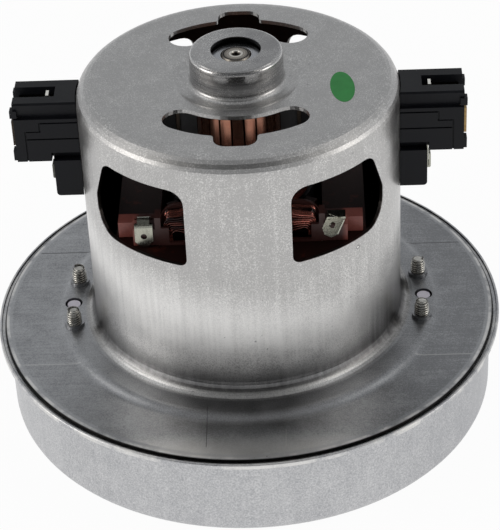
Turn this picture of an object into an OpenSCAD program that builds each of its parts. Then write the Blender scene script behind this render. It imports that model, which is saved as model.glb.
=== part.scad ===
// Vacuum motor unit: a universal motor in a drawn housing on a fan casing.
// The axis is +Z, the casing stands on Z = 0, the brushes lie on X and the field poles on Y.

/* [Housing] */
// Outer diameter of the motor housing
housing_d = 84; // [82:0.5:87]
// Sheet thickness of the housing and its flange
sheet_t = 1.1; // [0.9:0.05:1.2]
// Height of the crown above the flange
housing_h = 72.3; // [71:0.1:76]
// Radius of the shoulder under the crown
shoulder_r = 4.5; // [3:0.25:6]
// Radius of the foot between wall and flange
foot_r = 3.5; // [2:0.25:4.5]
// Height of the bearing boss above the crown
boss_h = 7.8; // [7.2:0.1:9]
// Diameter of the hole in the boss
boss_hole_d = 13; // [11:0.5:16]
// Radial width of the ring pressed in around the boss
moat_w = 5.8; // [5.4:0.1:6.2]
// Depth of the ring pressed in around the boss
moat_depth = 1; // [0.4:0.1:1.2]

/* [Flange] */
// Width of the raised ledge outside the wall
ledge_w = 7.4; // [6.5:0.1:9]
// How far the screw pads reach past the ledge
pad_bulge = 3.2; // [3:0.1:4]
// Distance of the screws from the housing wall
screw_reach = 6.4; // [6:0.1:6.8]
// Angle of each screw from the brush axis
screw_a = 11.8; // [10.5:0.1:12]
// Height of the screw tips above the ledge
screw_stand = 5; // [3:0.25:7]
// Screw diameter
screw_d = 4; // [3.5:0.1:4.2]
// Diameter of the peg holes between the screws
peg_hole_d = 4.8; // [4.2:0.1:5]
// How far the flange reaches past the casing wall
flange_lap = 0.8; // [0.5:0.1:1.1]

/* [Housing openings] */
// Angle of the inner window edge from the pole axis
window_in_a = 18.5; // [16:0.5:22]
// Angle of the outer window edge from the pole axis
window_out_a = 60.5; // [55:0.5:64]
// Height of the side windows
window_h = 22.2; // [18:0.2:24]
// Distance of the window tops below the crown
window_drop = 9.6; // [8:0.2:12]
// Middle radius of the crown slots
slot_mid_r = 25; // [24:0.25:26]
// Width of the crown slots
slot_w = 9.4; // [7:0.2:10]
// Half angle of the crown slots
slot_half_a = 44.5; // [38:0.5:48]
// Width of the notch in each crown slot
notch_w = 11; // [8:0.2:12]
// Depth of the notch in each crown slot
notch_depth = 4.6; // [4:0.1:5]

/* [Fan casing] */
// Outer diameter of the casing wall
casing_d = 133; // [130:0.5:138]
// Sheet thickness of the casing
casing_t = 1; // [0.8:0.05:1.2]
// Height of the casing up to the flange
casing_h = 24.9; // [24.4:0.1:27]
// Width of the lip at the top of the wall
lip_w = 2.5; // [2.3:0.1:3]
// Radius of the bottom corner
casing_corner_r = 4; // [3:0.25:6]
// Diameter of the air inlet
inlet_d = 38; // [34:0.5:40]
// Height of the inlet lip inside the casing
inlet_lip_h = 4; // [3.6:0.1:4.4]

/* [Fan] */
// Radial space between impeller and casing wall
impeller_gap = 7.5; // [5:0.25:10]
// Number of impeller blades
blade_n = 8; // [6:1:10]
// Thickness of the impeller blades
blade_t = 0.9; // [0.7:0.1:1.2]
// Thickness of the impeller plates
plate_t = 1; // [0.8:0.1:1.2]
// Height of the blades at the rim
rim_h = 5; // [4:0.25:6]
// Number of diffuser vanes
vane_n = 11; // [9:1:13]
// Height of the diffuser
diffuser_h = 10; // [9.5:0.1:10.6]
// Diameter of the locating pegs on the diffuser
peg_d = 3.6; // [3:0.1:3.9]

/* [Field] */
// Height of the lamination stack
stack_h = 24; // [22:0.5:26]
// Distance of the stack above the flange
stack_lift = 16.5; // [15.5:0.25:17.5]
// Width of each field pole
pole_w = 20; // [18:0.5:22]
// Thickness of the pole shoes
shoe_t = 3; // [2.6:0.1:3.2]
// Thickness of the bobbin walls
bobbin_t = 1; // [0.8:0.1:1.2]
// Diameter of the field wire
wire_d = 0.8; // [0.6:0.05:0.85]
// Distance between neighbouring turns of the field wire
wire_pitch = 1.3; // [1.26:0.01:1.35]
// Turns on the face of each field coil
face_turns = 6; // [5:1:6]
// Turns down the side of each field coil
side_turns = 3; // [2:1:3]
// Width of the terminal tabs
tab_w = 4.6; // [4:0.1:4.8]
// Thickness of the terminal tabs
tab_t = 0.6; // [0.4:0.1:0.8]

/* [Rotor] */
// Diameter of the armature
armature_d = 38; // [36:0.5:39]
// Gap between the armature and the poles
air_gap = 0.5; // [0.4:0.05:0.6]
// Number of armature slots
armature_slots = 12; // [10:1:12]
// Shaft diameter between the bearings
shaft_mid_d = 10; // [9:0.25:10.5]
// Diameter of the commutator
comm_d = 22.5; // [21:0.5:24]
// Length of the commutator bars
comm_h = 14; // [13:0.25:14.5]
// Number of commutator bars
bar_n = 22; // [18:1:24]

/* [Brushes] */
// Distance of the brush axis below the crown
brush_drop = 11.8; // [11.6:0.1:12.4]
// Brush width around the commutator
brush_w = 6.6; // [6:0.1:6.8]
// Brush height along the shaft
brush_h = 11.2; // [10:0.1:11.4]
// Brush length
brush_l = 21.6; // [18:0.2:24]
// Wall of the brass guide tube
tube_t = 0.75; // [0.6:0.05:0.9]
// Width of each brush holder
holder_w = 12.4; // [12:0.1:13]
// Height of each brush holder
holder_h = 17.4; // [17:0.1:18]
// How far each holder stands out from the housing
holder_reach = 16.2; // [14:0.2:18]
// How far the holder's leg hangs below it
leg_h = 10.8; // [8:0.2:12]
// Thickness of the holder's leg
leg_t = 6.8; // [5.5:0.1:7.5]

/* [Bearings] */
// Outer diameter of both bearings
bearing_od = 22; // [21:0.5:23]
// Bore of both bearings
bearing_id = 8; // [7.5:0.25:8.5]
// Width of both bearings
bearing_w = 7; // [6.6:0.1:7.4]
// Thickness of the drive end bracket
bracket_t = 1.2; // [1:0.05:1.4]

/* [Fits] */
// Radial play of a bearing in its seat
seat_clear = 0.02; // [0.01:0.01:0.05]
// Play of sliding and slipped in pieces, each side
slide_clear = 0.05; // [0.03:0.01:0.1]
// Space around pieces that are laid in place
lay_clear = 0.3; // [0.2:0.05:0.4]

/* [Hidden] */
$fn = 96;
arc_n = 6;
past = 1;

// Heights of the drawn sheets
ledge_h = bracket_t;
flange_z = casing_h + sheet_t;
ledge_z = flange_z + ledge_h;
crown_z = flange_z + housing_h;
moat_z = crown_z - moat_depth;
boss_z = crown_z + boss_h;

// Radii of the housing and the flange
housing_r = housing_d / 2;
housing_bore_r = housing_r - sheet_t;
boss_r = bearing_od / 2 + seat_clear + sheet_t;
boss_edge_r = sheet_t + 0.2;
boss_foot_r = 1.4;
moat_r = boss_r + moat_w;
moat_soft_r = 3;
ledge_soft_r = 4.5;
pad_soft_r = 1.8;
rim_w = 2;
rim_drop = 0.2;
ledge_r = housing_r + ledge_w;
pad_r = ledge_r + pad_bulge;
pad_in_r = ledge_r - 4;
screw_r = housing_r + screw_reach;
screw_tip_z = ledge_z + screw_stand;
thread_clear = 0.05;
collar_t = 0.65;
collar_h = 1;
screw_hole_r = screw_d / 2 + 0.15;
screw_spots = [for (side = [0, 180], a = [-screw_a, screw_a]) side + a];

// Radii of the casing and the fan
casing_r = casing_d / 2;
casing_bore_r = casing_r - casing_t;
flange_r = casing_r + flange_lap;
lip_r = casing_r + lip_w;
lip_foot_r = 1.6;
lip_in_r = lip_r - 0.8;
lip_top_z = casing_h + 0.6;
inlet_r = inlet_d / 2;
inlet_round_r = 2.6;
inlet_bend_r = inlet_round_r + casing_t;
impeller_r = casing_bore_r - impeller_gap;
washer_t = 1.5;
washer_r = 10;
diffuser_z = casing_h - diffuser_h;
back_z = diffuser_z - washer_t - plate_t;
nut_z = back_z - washer_t;
nut_h = 5.6;
nut_flat = 13;
shaft_low_z = nut_z - nut_h - 1.4;
eye_r = inlet_r + casing_t + 1;
shroud_rim_z = back_z - rim_h;
eye_drop = 1;
seal_h = 1.8;
shroud_eye_z = casing_t + seal_h + lay_clear + plate_t + eye_drop;
diffuser_hole_r = bearing_od / 2 + 3;
diffuser_plate_t = 1.5;
diffuser_r = impeller_r + 2.5;
screw_head_r = 3.7;
screw_head_h = 2.2;

// Bearings and shaft
cup_t = bracket_t;
cup_r = bearing_od / 2 + seat_clear + cup_t;
low_bearing_z = casing_h + 0.5;
low_bearing_top = low_bearing_z + bearing_w;
preload_h = 0.5;
top_bearing_top = boss_z - sheet_t - preload_h;
top_bearing_z = top_bearing_top - bearing_w;
shaft_r = bearing_id / 2;
shaft_mid_r = shaft_mid_d / 2;
race_mid_r = (bearing_od / 2 + shaft_r) / 2;
race_t = 2.1;
ball_r = 1.65;
ball_groove_r = 1.85;
ball_n = 7;
shaft_top_z = top_bearing_top + 0.3;

// Field and armature
armature_r = armature_d / 2;
pole_bore_r = armature_r + air_gap;
stack_z = flange_z + stack_lift;
stack_top_z = stack_z + stack_h;
stack_mid_z = stack_z + stack_h / 2;
pole_clear = 0.1;
sleeve_x = pole_w / 2 + pole_clear + bobbin_t;
sleeve_z = stack_h / 2 + pole_clear + bobbin_t;
coil_in_y = pole_bore_r + shoe_t + lay_clear + bobbin_t;
first_row_y = coil_in_y + wire_d / 2 + 0.2;
face_y = first_row_y + side_turns * wire_pitch;
coil_out_y = face_y + wire_d / 2 + 0.2;
coil_build = face_turns * wire_pitch + wire_d + 0.1;
coil_corner_r = 2;
coil_rings = 24;
field_y = coil_out_y + bobbin_t + lay_clear;
field_x = sleeve_x + coil_build + bobbin_t + lay_clear;
yoke_t = 11;
shoe_half_a = 62;
stator_r = housing_bore_r - slide_clear;
flange_build = bobbin_t + coil_build + 0.8;
cheek_z = sleeve_z + coil_build - 1.5;
block_in_x = sleeve_x + coil_build + 0.3;
tab_in_x = block_in_x + 2.1;
block_out_x = tab_in_x + tab_w + 0.5;
block_in_y = coil_out_y - 3;
block_h = 6.7;
block_out_y = coil_out_y + bobbin_t;
block_top_z = stack_top_z + block_h;
tab_access = 6;
tab_slot_y = block_in_y + 1.4;
tab_stem_y = tab_slot_y + slide_clear;
tab_low_z = stack_top_z + 2.2;
tab_hole_d = 1.6;
tab_hole_in = 3;
tab_cut = 1.4;
raised_run = 2.6;
raised_l = 5.2;
raised_tilt = 40;
raised_turn = 35;

// Commutator and brush gear, laid out on the +X side
comm_r = comm_d / 2;
brush_z = crown_z - brush_drop;
comm_z = brush_z - comm_h / 2;
comm_top_z = comm_z + comm_h;
hub_r = comm_r - 3.2;
brush_in_x = comm_r + 0.1;
brush_out_x = brush_in_x + brush_l;
tube_y = brush_w / 2 + slide_clear + tube_t;
tube_z = brush_h / 2 + slide_clear + tube_t;
tube_in_x = comm_r + 4;
holder_out_x = housing_r + holder_reach;
tube_out_x = holder_out_x - 1;
snout_wall = 1;
snout_in_x = tube_in_x + 1;
snout_y = tube_y + slide_clear + snout_wall;
snout_z = tube_z + slide_clear + snout_wall;
wall_clear = 0.1;
leg_out_x = housing_r + leg_t;
cap_z = 4.2;
cap_y = holder_w / 2 - 1;
cap_post_r = 1.1;
cap_post_l = 2;
spring_wire_d = 0.6;
spring_r = brush_w / 2 - spring_wire_d / 2 - 0.3;
spring_curls = 9;
spring_rings = 8;
slot_in_x = holder_out_x - 10.7;
terminal_w = 3;
terminal_t = 0.5;

// Curves and outlines

// Points of a round arc
function arc(c, r, a0, a1, n = arc_n) =
    [for (i = [0:n]) c + r * [cos(a0 + (a1 - a0) * i / n), sin(a0 + (a1 - a0) * i / n)]];

function unit(v) = v / norm(v);

function reverse(list) = [for (i = [len(list) - 1:-1:0]) list[i]];

// Points that round one corner p of an outline, between its neighbours a and b
function corner(a, p, b, r) =
    let (ua = unit(a - p), ub = unit(b - p), half = acos(ua * ub) / 2)
    let (c = p + unit(ua + ub) * r / sin(half), s = p + ua * r / tan(half) - c)
    let (turn = sign(cross(s, p + ub * r / tan(half) - c)) * (180 - 2 * half))
    [for (i = [0:arc_n])
        c + [s.x * cos(turn * i / arc_n) - s.y * sin(turn * i / arc_n),
             s.x * sin(turn * i / arc_n) + s.y * cos(turn * i / arc_n)]];

// An outline with each corner rounded by its own radius
function rounded(pts, radii) =
    let (n = len(pts))
    [for (i = [0:n - 1]) each radii[i] > 0
        ? corner(pts[(i + n - 1) % n], pts[i], pts[(i + 1) % n], radii[i])
        : [pts[i]]];

function rounded_box(x, y, r) = rounded([[x, y], [-x, y], [-x, -y], [x, -y]], [r, r, r, r]);

// A soft step of height h in a sheet, going inwards from radius r; o is the depth under the top skin
function soft_step(r, z, h, m, o) =
    let (b = acos(1 - abs(h) / (2 * m)), run = 2 * m * sin(b))
    h > 0
        ? concat(arc([r + run, z + m], m + o, 270, 270 - b), arc([r, z + h - m], m - o, 90 - b, 90))
        : concat(arc([r, z - m], m - o, 90, 90 + b), arc([r - run, z + h + m], m + o, 270 + b, 270));

// A tube swept along points, with rings square to the path
module sweep(path, r, sides, ref) {
    last = len(path) - 1;
    rings = [for (i = [0:last])
        let (t = unit(path[min(i + 1, last)] - path[max(i - 1, 0)]))
        let (a = unit(cross(t, ref)), b = cross(t, a))
        for (k = [0:sides - 1]) path[i] + r * (cos(360 * k / sides) * a + sin(360 * k / sides) * b)];
    walls = [for (i = [0:last - 1], k = [0:sides - 1])
        let (p = i * sides + k, q = i * sides + (k + 1) % sides)
        each [[p, q + sides, q], [p, p + sides, q + sides]]];
    foot = [for (k = [1:sides - 2]) [0, k, k + 1]];
    top = last * sides;
    head = [for (k = [1:sides - 2]) [top, top + k + 1, top + k]];
    polyhedron(rings, concat(walls, foot, head));
}

// Least distance between the surfaces of turns that lie at least half a turn apart
function least_gap(path, per_turn, d) =
    min([for (i = [0:len(path) - 1], j = [i + per_turn / 2:1:len(path) - 1]) norm(path[i] - path[j])]) - d;

// Runs its children along X between two places, with their X as Y and their Y as Z
module along_x(x0, x1) {
    translate([x0, 0, 0])
        rotate([90, 0, 90])
            linear_extrude(x1 - x0)
                children();
}

// Runs its children along Y between two places, with their Y as Z
module along_y(y0, y1) {
    translate([0, y1, 0])
        rotate([90, 0, 0])
            linear_extrude(y1 - y0)
                children();
}

module ring(r_in, r_out, z0, z1) {
    translate([0, 0, z0])
        difference() {
            cylinder(r = r_out, h = z1 - z0);
            translate([0, 0, -past])
                cylinder(r = r_in, h = z1 - z0 + 2 * past);
        }
}

module disc(r, z0, z1) {
    translate([0, 0, z0])
        cylinder(r = r, h = z1 - z0);
}

module box(x0, x1, y0, y1, z0, z1) {
    translate([x0, y0, z0])
        cube([x1 - x0, y1 - y0, z1 - z0]);
}

module at_screws() {
    for (a = screw_spots)
        rotate([0, 0, a])
            translate([screw_r, 0, 0])
                children();
}

module at_pegs() {
    for (s = [-1, 1])
        translate([s * screw_r, 0, 0])
            children();
}

// Housing

function housing_skin(o) = concat(
    soft_step(ledge_r, flange_z, ledge_h, ledge_soft_r, o),
    arc([housing_r + foot_r, ledge_z + foot_r], foot_r + o, 270, 180),
    arc([housing_r - shoulder_r, crown_z - shoulder_r], shoulder_r - o, 0, 90),
    soft_step(moat_r, crown_z, -moat_depth, moat_soft_r, o),
    arc([boss_r + boss_foot_r, moat_z + boss_foot_r], boss_foot_r + o, 270, 180),
    arc([boss_r - boss_edge_r, boss_z - boss_edge_r], boss_edge_r - o, 0, 90));

module housing_shell() {
    edge_r = (sheet_t - rim_drop) / 2 - 0.05;
    rotate_extrude()
        polygon(concat(
            arc([flange_r - edge_r, casing_h + edge_r], edge_r, 270, 360),
            arc([flange_r - edge_r, flange_z - rim_drop - edge_r], edge_r, 0, 90),
            [[flange_r - rim_w, flange_z]],
            housing_skin(0),
            [[boss_hole_d / 2, boss_z], [boss_hole_d / 2, boss_z - sheet_t]],
            reverse(housing_skin(sheet_t))));
}

// Section of a pad whose flat top ends at radius r, with the soft slope outside it
module pad_section(r, r_in) {
    slope = soft_step(r, flange_z, ledge_h, pad_soft_r, 0);
    polygon(concat([[r_in, ledge_z], [r_in, casing_h], [slope[0].x, casing_h]], slope));
}

module screw_pad() {
    rotate([0, 0, -screw_a])
        rotate_extrude(angle = 2 * screw_a)
            pad_section(pad_r, pad_in_r);
    for (a = [-screw_a, screw_a])
        rotate([0, 0, a])
            translate([screw_r, 0, 0])
                rotate_extrude()
                    pad_section(pad_r - screw_r, 0);
}

// Ends of the bracket under the screw pads, or with room to spare the hollows they lie in
module bracket_ends(grow) {
    end_r = pad_r - sheet_t - lay_clear;
    end_y = screw_r * sin(screw_a) + screw_hole_r + 0.6;
    intersection() {
        circle(r = end_r + grow);
        for (s = [-1, 1])
            translate([s * (housing_r + 8), 0])
                square([20, 2 * (end_y + grow)], center = true);
    }
}

module side_window() {
    mid_a = (window_in_a + window_out_a) / 2;
    top_z = crown_z - window_drop;
    low_z = min(top_z - window_h, block_top_z - tab_access);
    kink_z = low_z + (top_z - low_z) * 0.47;
    top_a = window_out_a - 7;
    span = function (a) housing_r * sin(a - mid_a);
    outline = rounded(
        [[span(window_in_a), low_z], [span(window_out_a), low_z], [span(window_out_a), kink_z],
         [span(top_a), top_z], [span(window_in_a), top_z]],
        [2, 7, 3, 4.2, 4]);
    rotate([0, 0, mid_a - 90])
        along_x(housing_r * 0.8, housing_r + past)
            polygon(outline);
}

module crown_slot() {
    end_r = slot_w / 2;
    out_r = slot_mid_r + end_r;
    in_r = slot_mid_r - end_r;
    end_a = slot_half_a - asin(end_r / slot_mid_r);
    notch_a = asin(notch_w / 2 / out_r);
    notch_y = out_r + notch_depth;
    step_a = (end_a - notch_a) / 8;
    notch_foot_r = 1;
    notch_corner_r = 3.3;
    polar = function (r, a) r * [sin(a), -cos(a)];
    half = concat(
        [for (i = [0:6]) polar(in_r, end_a * i / 6)],
        [for (i = [1:11]) polar(slot_mid_r, end_a) + polar(end_r, end_a + 180 - 15 * i)],
        [for (i = [0:7]) polar(out_r, end_a - step_a * i)],
        corner(polar(out_r, notch_a + step_a), polar(out_r, notch_a), [notch_w / 2, -notch_y], notch_foot_r),
        corner(polar(out_r, notch_a), [notch_w / 2, -notch_y], [0, -notch_y], notch_corner_r));
    translate([0, 0, crown_z - sheet_t - past])
        linear_extrude(sheet_t + 2 * past)
            for (side = [0, 1])
                mirror([side, 0])
                    polygon(concat(half, [[-past, -notch_y], [-past, half[0].y]]));
}

module motor_housing() {
    port_y = snout_y + lay_clear;
    port_z = snout_z + lay_clear;
    color("silver")
        difference() {
            union() {
                housing_shell();
                for (side = [0, 180])
                    rotate([0, 0, side])
                        screw_pad();
                at_screws()
                    disc(screw_d / 2 + thread_clear + collar_t, ledge_z - sheet_t / 2, ledge_z + collar_h);
            }
            translate([0, 0, casing_h - past])
                linear_extrude(bracket_t + past)
                    bracket_ends(lay_clear);
            at_screws()
                disc(screw_d / 2 + thread_clear, casing_h - past, ledge_z + collar_h + past);
            at_pegs()
                disc(peg_hole_d / 2, casing_h - past, ledge_z + past);
            for (mx = [0, 1], my = [0, 1])
                mirror([mx, 0, 0])
                    mirror([0, my, 0])
                        side_window();
            for (side = [0, 180])
                rotate([0, 0, side])
                    crown_slot();
            for (s = [0, 1])
                mirror([s, 0, 0])
                    box(housing_r - 6, housing_r + past, -port_y, port_y, brush_z - port_z, brush_z + port_z);
        }
}

// Fan casing and what lies in it

function casing_skin(o) = concat(
    [[inlet_r + o, inlet_lip_h]],
    arc([inlet_r + inlet_bend_r, inlet_bend_r], inlet_bend_r - o, 180, 270),
    arc([casing_r - casing_corner_r, casing_corner_r], casing_corner_r - o, 270, 360),
    arc([casing_r + lip_foot_r, casing_h - casing_t - lip_foot_r], lip_foot_r + o, 180, 90));

module fan_casing() {
    edge_r = casing_t / 2 - 0.05;
    lip_edge_r = 0.2;
    color("gainsboro")
        rotate_extrude()
            polygon(concat(
                casing_skin(0),
                arc([lip_r - edge_r, casing_h - casing_t + edge_r], edge_r, 270, 360),
                arc([lip_r - edge_r, lip_top_z - edge_r], edge_r, 0, 90),
                arc([lip_in_r + lip_edge_r, lip_top_z - lip_edge_r], lip_edge_r, 90, 180),
                [[lip_in_r, casing_h]],
                reverse(casing_skin(casing_t))));
}

module inlet_seal_ring() {
    in_r = inlet_r + inlet_bend_r + slide_clear;
    seal_w = 4.6;
    color("ivory")
        ring(in_r, in_r + seal_w, casing_t, casing_t + seal_h);
}

module drive_end_bracket() {
    arm_y = 9;
    rib_top_z = casing_h + 5;
    color("lightsteelblue")
        difference() {
            union() {
                translate([0, 0, casing_h])
                    linear_extrude(bracket_t) {
                        circle(r = cup_r + 5);
                        square([2 * housing_r, 2 * arm_y], center = true);
                        bracket_ends(0);
                    }
                for (mx = [0, 1], my = [0, 1])
                    mirror([mx, 0, 0])
                        mirror([0, my, 0])
                            box(cup_r + 1, housing_r - 5, arm_y - bracket_t, arm_y, casing_h, rib_top_z);
                disc(cup_r, casing_h, low_bearing_top + cup_t);
            }
            disc(bearing_od / 2 + seat_clear, casing_h - past, low_bearing_top);
            disc(shaft_mid_r + 2.5, casing_h, low_bearing_top + cup_t + past);
            at_screws()
                disc(screw_hole_r, casing_h - past, casing_h + bracket_t + past);
            at_pegs()
                disc(peg_hole_d / 2, casing_h - past, casing_h + bracket_t + past);
        }
}

// Curved blades seen from above, from radius r0 to r1, swept back by an angle
module blades(count, r0, r1, sweep_a, t) {
    steps = 8;
    at = function (f) let (r = r0 + (r1 - r0) * f, a = sweep_a * pow(f, 0.8)) r * [cos(a), sin(a)];
    side = function (f, s)
        let (d = unit(at(min(f + 0.02, 1)) - at(max(f - 0.02, 0)))) at(f) + s * t / 2 * [-d.y, d.x];
    for (i = [0:count - 1])
        rotate(360 * i / count)
            polygon(concat(
                [for (k = [0:steps]) side(k / steps, -1)],
                [for (k = [steps:-1:0]) side(k / steps, 1)]));
}

module diffuser() {
    vane_t = 1.6;
    vane_in_r = diffuser_hole_r + 10;
    boss_out_r = screw_head_r + 1.2;
    plate_z = diffuser_z + diffuser_plate_t;
    color("whitesmoke")
        difference() {
            union() {
                disc(diffuser_r, diffuser_z, plate_z);
                disc(diffuser_hole_r + 2, diffuser_z, casing_h);
                translate([0, 0, plate_z - 0.1])
                    linear_extrude(casing_h - plate_z - 0.1)
                        blades(vane_n, vane_in_r, casing_bore_r - lay_clear - vane_t / 2, -48, vane_t);
                at_screws()
                    disc(boss_out_r, diffuser_z, casing_h);
                at_pegs()
                    disc(peg_d / 2, diffuser_z, ledge_z - 0.4);
            }
            disc(diffuser_hole_r, diffuser_z - past, casing_h + past);
            at_screws() {
                disc(screw_hole_r, diffuser_z - past, casing_h + past);
                disc(screw_head_r + lay_clear, diffuser_z - past, diffuser_z + screw_head_h + 0.3);
            }
        }
}

module clamp_screws() {
    head_z = diffuser_z + 0.3;
    tip_r = 0.9;
    color("lightgray")
        at_screws()
            rotate_extrude()
                polygon(concat(
                    [[0, head_z], [screw_head_r - 0.6, head_z], [screw_head_r, head_z + 0.6],
                     [screw_head_r, head_z + screw_head_h], [screw_d / 2, head_z + screw_head_h]],
                    arc([screw_d / 2 - tip_r, screw_tip_z - tip_r], tip_r, 0, 90),
                    [[0, screw_tip_z]]));
}

// Impeller

function shroud_line(o) =
    let (r0 = eye_r + 1.5, rise = shroud_rim_z - shroud_eye_z)
    concat(
        [[eye_r, shroud_eye_z - eye_drop + o]],
        [for (i = [0:8]) [r0 + (impeller_r - r0) * i / 8, shroud_eye_z + rise * sin(90 * i / 8) + o]]);

module impeller_back_plate() {
    color("silver")
        ring(shaft_r + slide_clear, impeller_r, back_z, back_z + plate_t);
}

module impeller_shroud() {
    color("silver")
        rotate_extrude()
            polygon(concat(shroud_line(-plate_t), reverse(shroud_line(0))));
}

module impeller_blades() {
    color("silver")
        intersection() {
            translate([0, 0, casing_t])
                linear_extrude(back_z - casing_t)
                    blades(blade_n, eye_r - 2, impeller_r - 0.5, -62, blade_t);
            rotate_extrude()
                polygon(concat(
                    [[eye_r - 3, shroud_eye_z]],
                    [for (p = shroud_line(0)) if (p.x > eye_r) p],
                    [[impeller_r, back_z], [eye_r - 3, back_z]]));
        }
}

module impeller_spacer() {
    color("darkgray")
        ring(shaft_r + slide_clear, shaft_r + 2.2, diffuser_z, low_bearing_z);
}

module impeller_washers() {
    color("darkgray")
        for (z = [nut_z, back_z + plate_t])
            ring(shaft_r + slide_clear, washer_r, z, z + washer_t);
}

module impeller_nut() {
    color("goldenrod")
        translate([0, 0, nut_z - nut_h])
            difference() {
                cylinder(d = nut_flat / cos(30), h = nut_h, $fn = 6);
                translate([0, 0, -past])
                    cylinder(r = shaft_r + slide_clear, h = nut_h + 2 * past);
            }
}

// Bearings

module race_ring(r_in, r_out, z) {
    color("silver")
        rotate_extrude()
            difference() {
                translate([r_in, z])
                    square([r_out - r_in, bearing_w]);
                translate([race_mid_r, z + bearing_w / 2])
                    circle(r = ball_groove_r);
            }
}

module outer_ring(z) {
    race_ring(bearing_od / 2 - race_t, bearing_od / 2, z);
}

module inner_ring(z) {
    race_ring(shaft_r + seat_clear, shaft_r + race_t, z);
}

module ball_cage(z) {
    color("lightslategray")
        translate([0, 0, z + bearing_w / 2]) {
            ring(race_mid_r - 0.4, race_mid_r + 0.4, -0.9, 0.9);
            for (i = [0:ball_n - 1])
                rotate([0, 0, 360 * i / ball_n])
                    translate([race_mid_r, 0, 0])
                        sphere(r = ball_r);
        }
}

module shields(z) {
    shield_t = 0.4;
    color("dimgray")
        for (low = [z + 0.3, z + bearing_w - 0.3 - shield_t])
            ring(shaft_r + race_t + 0.3, bearing_od / 2 - race_t, low, low + shield_t);
}

module upper_bearing_outer_ring() { outer_ring(top_bearing_z); }
module lower_bearing_outer_ring() { outer_ring(low_bearing_z); }
module upper_bearing_inner_ring() { inner_ring(top_bearing_z); }
module lower_bearing_inner_ring() { inner_ring(low_bearing_z); }
module upper_bearing_shields() { shields(top_bearing_z); }
module lower_bearing_shields() { shields(low_bearing_z); }
module upper_ball_cage() { ball_cage(top_bearing_z); }
module lower_ball_cage() { ball_cage(low_bearing_z); }

module preload_washer() {
    out_r = bearing_od / 2 - 0.3;
    color("steelblue")
        ring(out_r - race_t + 0.5, out_r, top_bearing_top, top_bearing_top + preload_h);
}

// Rotor

module shaft() {
    chamfer = 0.5;
    tip_r = shaft_r - chamfer;
    drill_r = 1.3;
    color("silver")
        rotate_extrude()
            polygon([
                [0, shaft_low_z], [tip_r, shaft_low_z], [shaft_r, shaft_low_z + chamfer],
                [shaft_r, low_bearing_top], [shaft_mid_r, low_bearing_top], [shaft_mid_r, top_bearing_z],
                [shaft_r, top_bearing_z], [shaft_r, shaft_top_z - chamfer], [tip_r, shaft_top_z],
                [drill_r, shaft_top_z], [0, shaft_top_z - drill_r]]);
}

module armature_slot_shape(grow) {
    slot_r = 2.6 + grow;
    slot_at = armature_r - 6;
    for (i = [0:armature_slots - 1])
        rotate(360 * i / armature_slots)
            translate([slot_at, 0])
                circle(r = slot_r);
}

module armature_core() {
    mouth = 2;
    color("dimgray")
        translate([0, 0, stack_z])
            linear_extrude(stack_h)
                difference() {
                    circle(r = armature_r);
                    circle(r = shaft_mid_r + slide_clear);
                    armature_slot_shape(0);
                    for (i = [0:armature_slots - 1])
                        rotate(360 * i / armature_slots)
                            translate([armature_r - 6, -mouth / 2])
                                square([8, mouth]);
                }
}

module armature_insulators() {
    disc_t = 1;
    color("indianred")
        for (z = [stack_z - disc_t, stack_top_z])
            translate([0, 0, z])
                linear_extrude(disc_t)
                    difference() {
                        circle(r = armature_r - 1);
                        circle(r = shaft_mid_r + slide_clear);
                        armature_slot_shape(0);
                    }
}

function end_turn(r0, r1, z, h) = rounded(
    [[r0, z], [r1, z], [r1 - 1, z + h * 0.62], [r1 - 5, z + h], [r0, z + h * 0.9]],
    [0, 0.8, 2.4, 3, 2]);

module armature_winding() {
    in_r = shaft_mid_r + 1;
    out_r = armature_r - 1.4;
    high = 9;
    low = 6.5;
    gap_z = 1.1;
    color("sienna")
        difference() {
            union() {
                rotate_extrude()
                    polygon(end_turn(in_r, out_r, stack_top_z + gap_z, high));
                rotate_extrude()
                    polygon([for (p = end_turn(in_r, out_r, 0, low)) [p.x, stack_z - gap_z - p.y]]);
                translate([0, 0, stack_z - gap_z - 0.2])
                    linear_extrude(stack_h + 2 * gap_z + 0.4)
                        armature_slot_shape(-0.25);
            }
            for (i = [0:armature_slots - 1], z = [stack_z - gap_z - high - 1, stack_top_z + gap_z + 0.8])
                rotate([0, 0, 360 * (i + 0.5) / armature_slots])
                    translate([out_r + 0.5, 0, z])
                        cylinder(r = 1.3, h = high + 1);
        }
}

module commutator_hub() {
    color("saddlebrown")
        ring(shaft_mid_r + slide_clear, hub_r, comm_z - 2, comm_top_z + 0.6);
}

module commutator_bars() {
    gap = 0.5;
    riser_r = comm_r + 1.4;
    riser_h = (comm_h - brush_h) / 2 - lay_clear;
    color("peru")
        difference() {
            union() {
                disc(comm_r, comm_z, comm_top_z);
                disc(riser_r, comm_z, comm_z + riser_h);
            }
            disc(hub_r, comm_z - past, comm_top_z + past);
            for (i = [0:bar_n - 1])
                rotate([0, 0, 360 * i / bar_n])
                    box(0, riser_r + past, -gap / 2, gap / 2, comm_z - past, comm_top_z + past);
        }
}

module commutator_spacer() {
    color("burlywood")
        ring(shaft_mid_r + slide_clear, shaft_r + race_t, comm_top_z + 0.6, top_bearing_z);
}

// Field

module stator_core() {
    color("slategray")
        translate([0, 0, stack_z])
            linear_extrude(stack_h)
                difference() {
                    intersection() {
                        circle(r = stator_r);
                        square([2 * (field_x + yoke_t), 4 * stator_r], center = true);
                    }
                    difference() {
                        polygon(rounded_box(field_x, field_y, 0.8));
                        square([pole_w, 2 * field_y + past], center = true);
                        intersection() {
                            circle(r = pole_bore_r + shoe_t);
                            for (s = [-1, 1])
                                polygon([
                                    [0, 0], 2 * field_y * [sin(shoe_half_a), s * cos(shoe_half_a)],
                                    2 * field_y * [-sin(shoe_half_a), s * cos(shoe_half_a)]]);
                        }
                    }
                    circle(r = pole_bore_r);
                }
}

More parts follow.
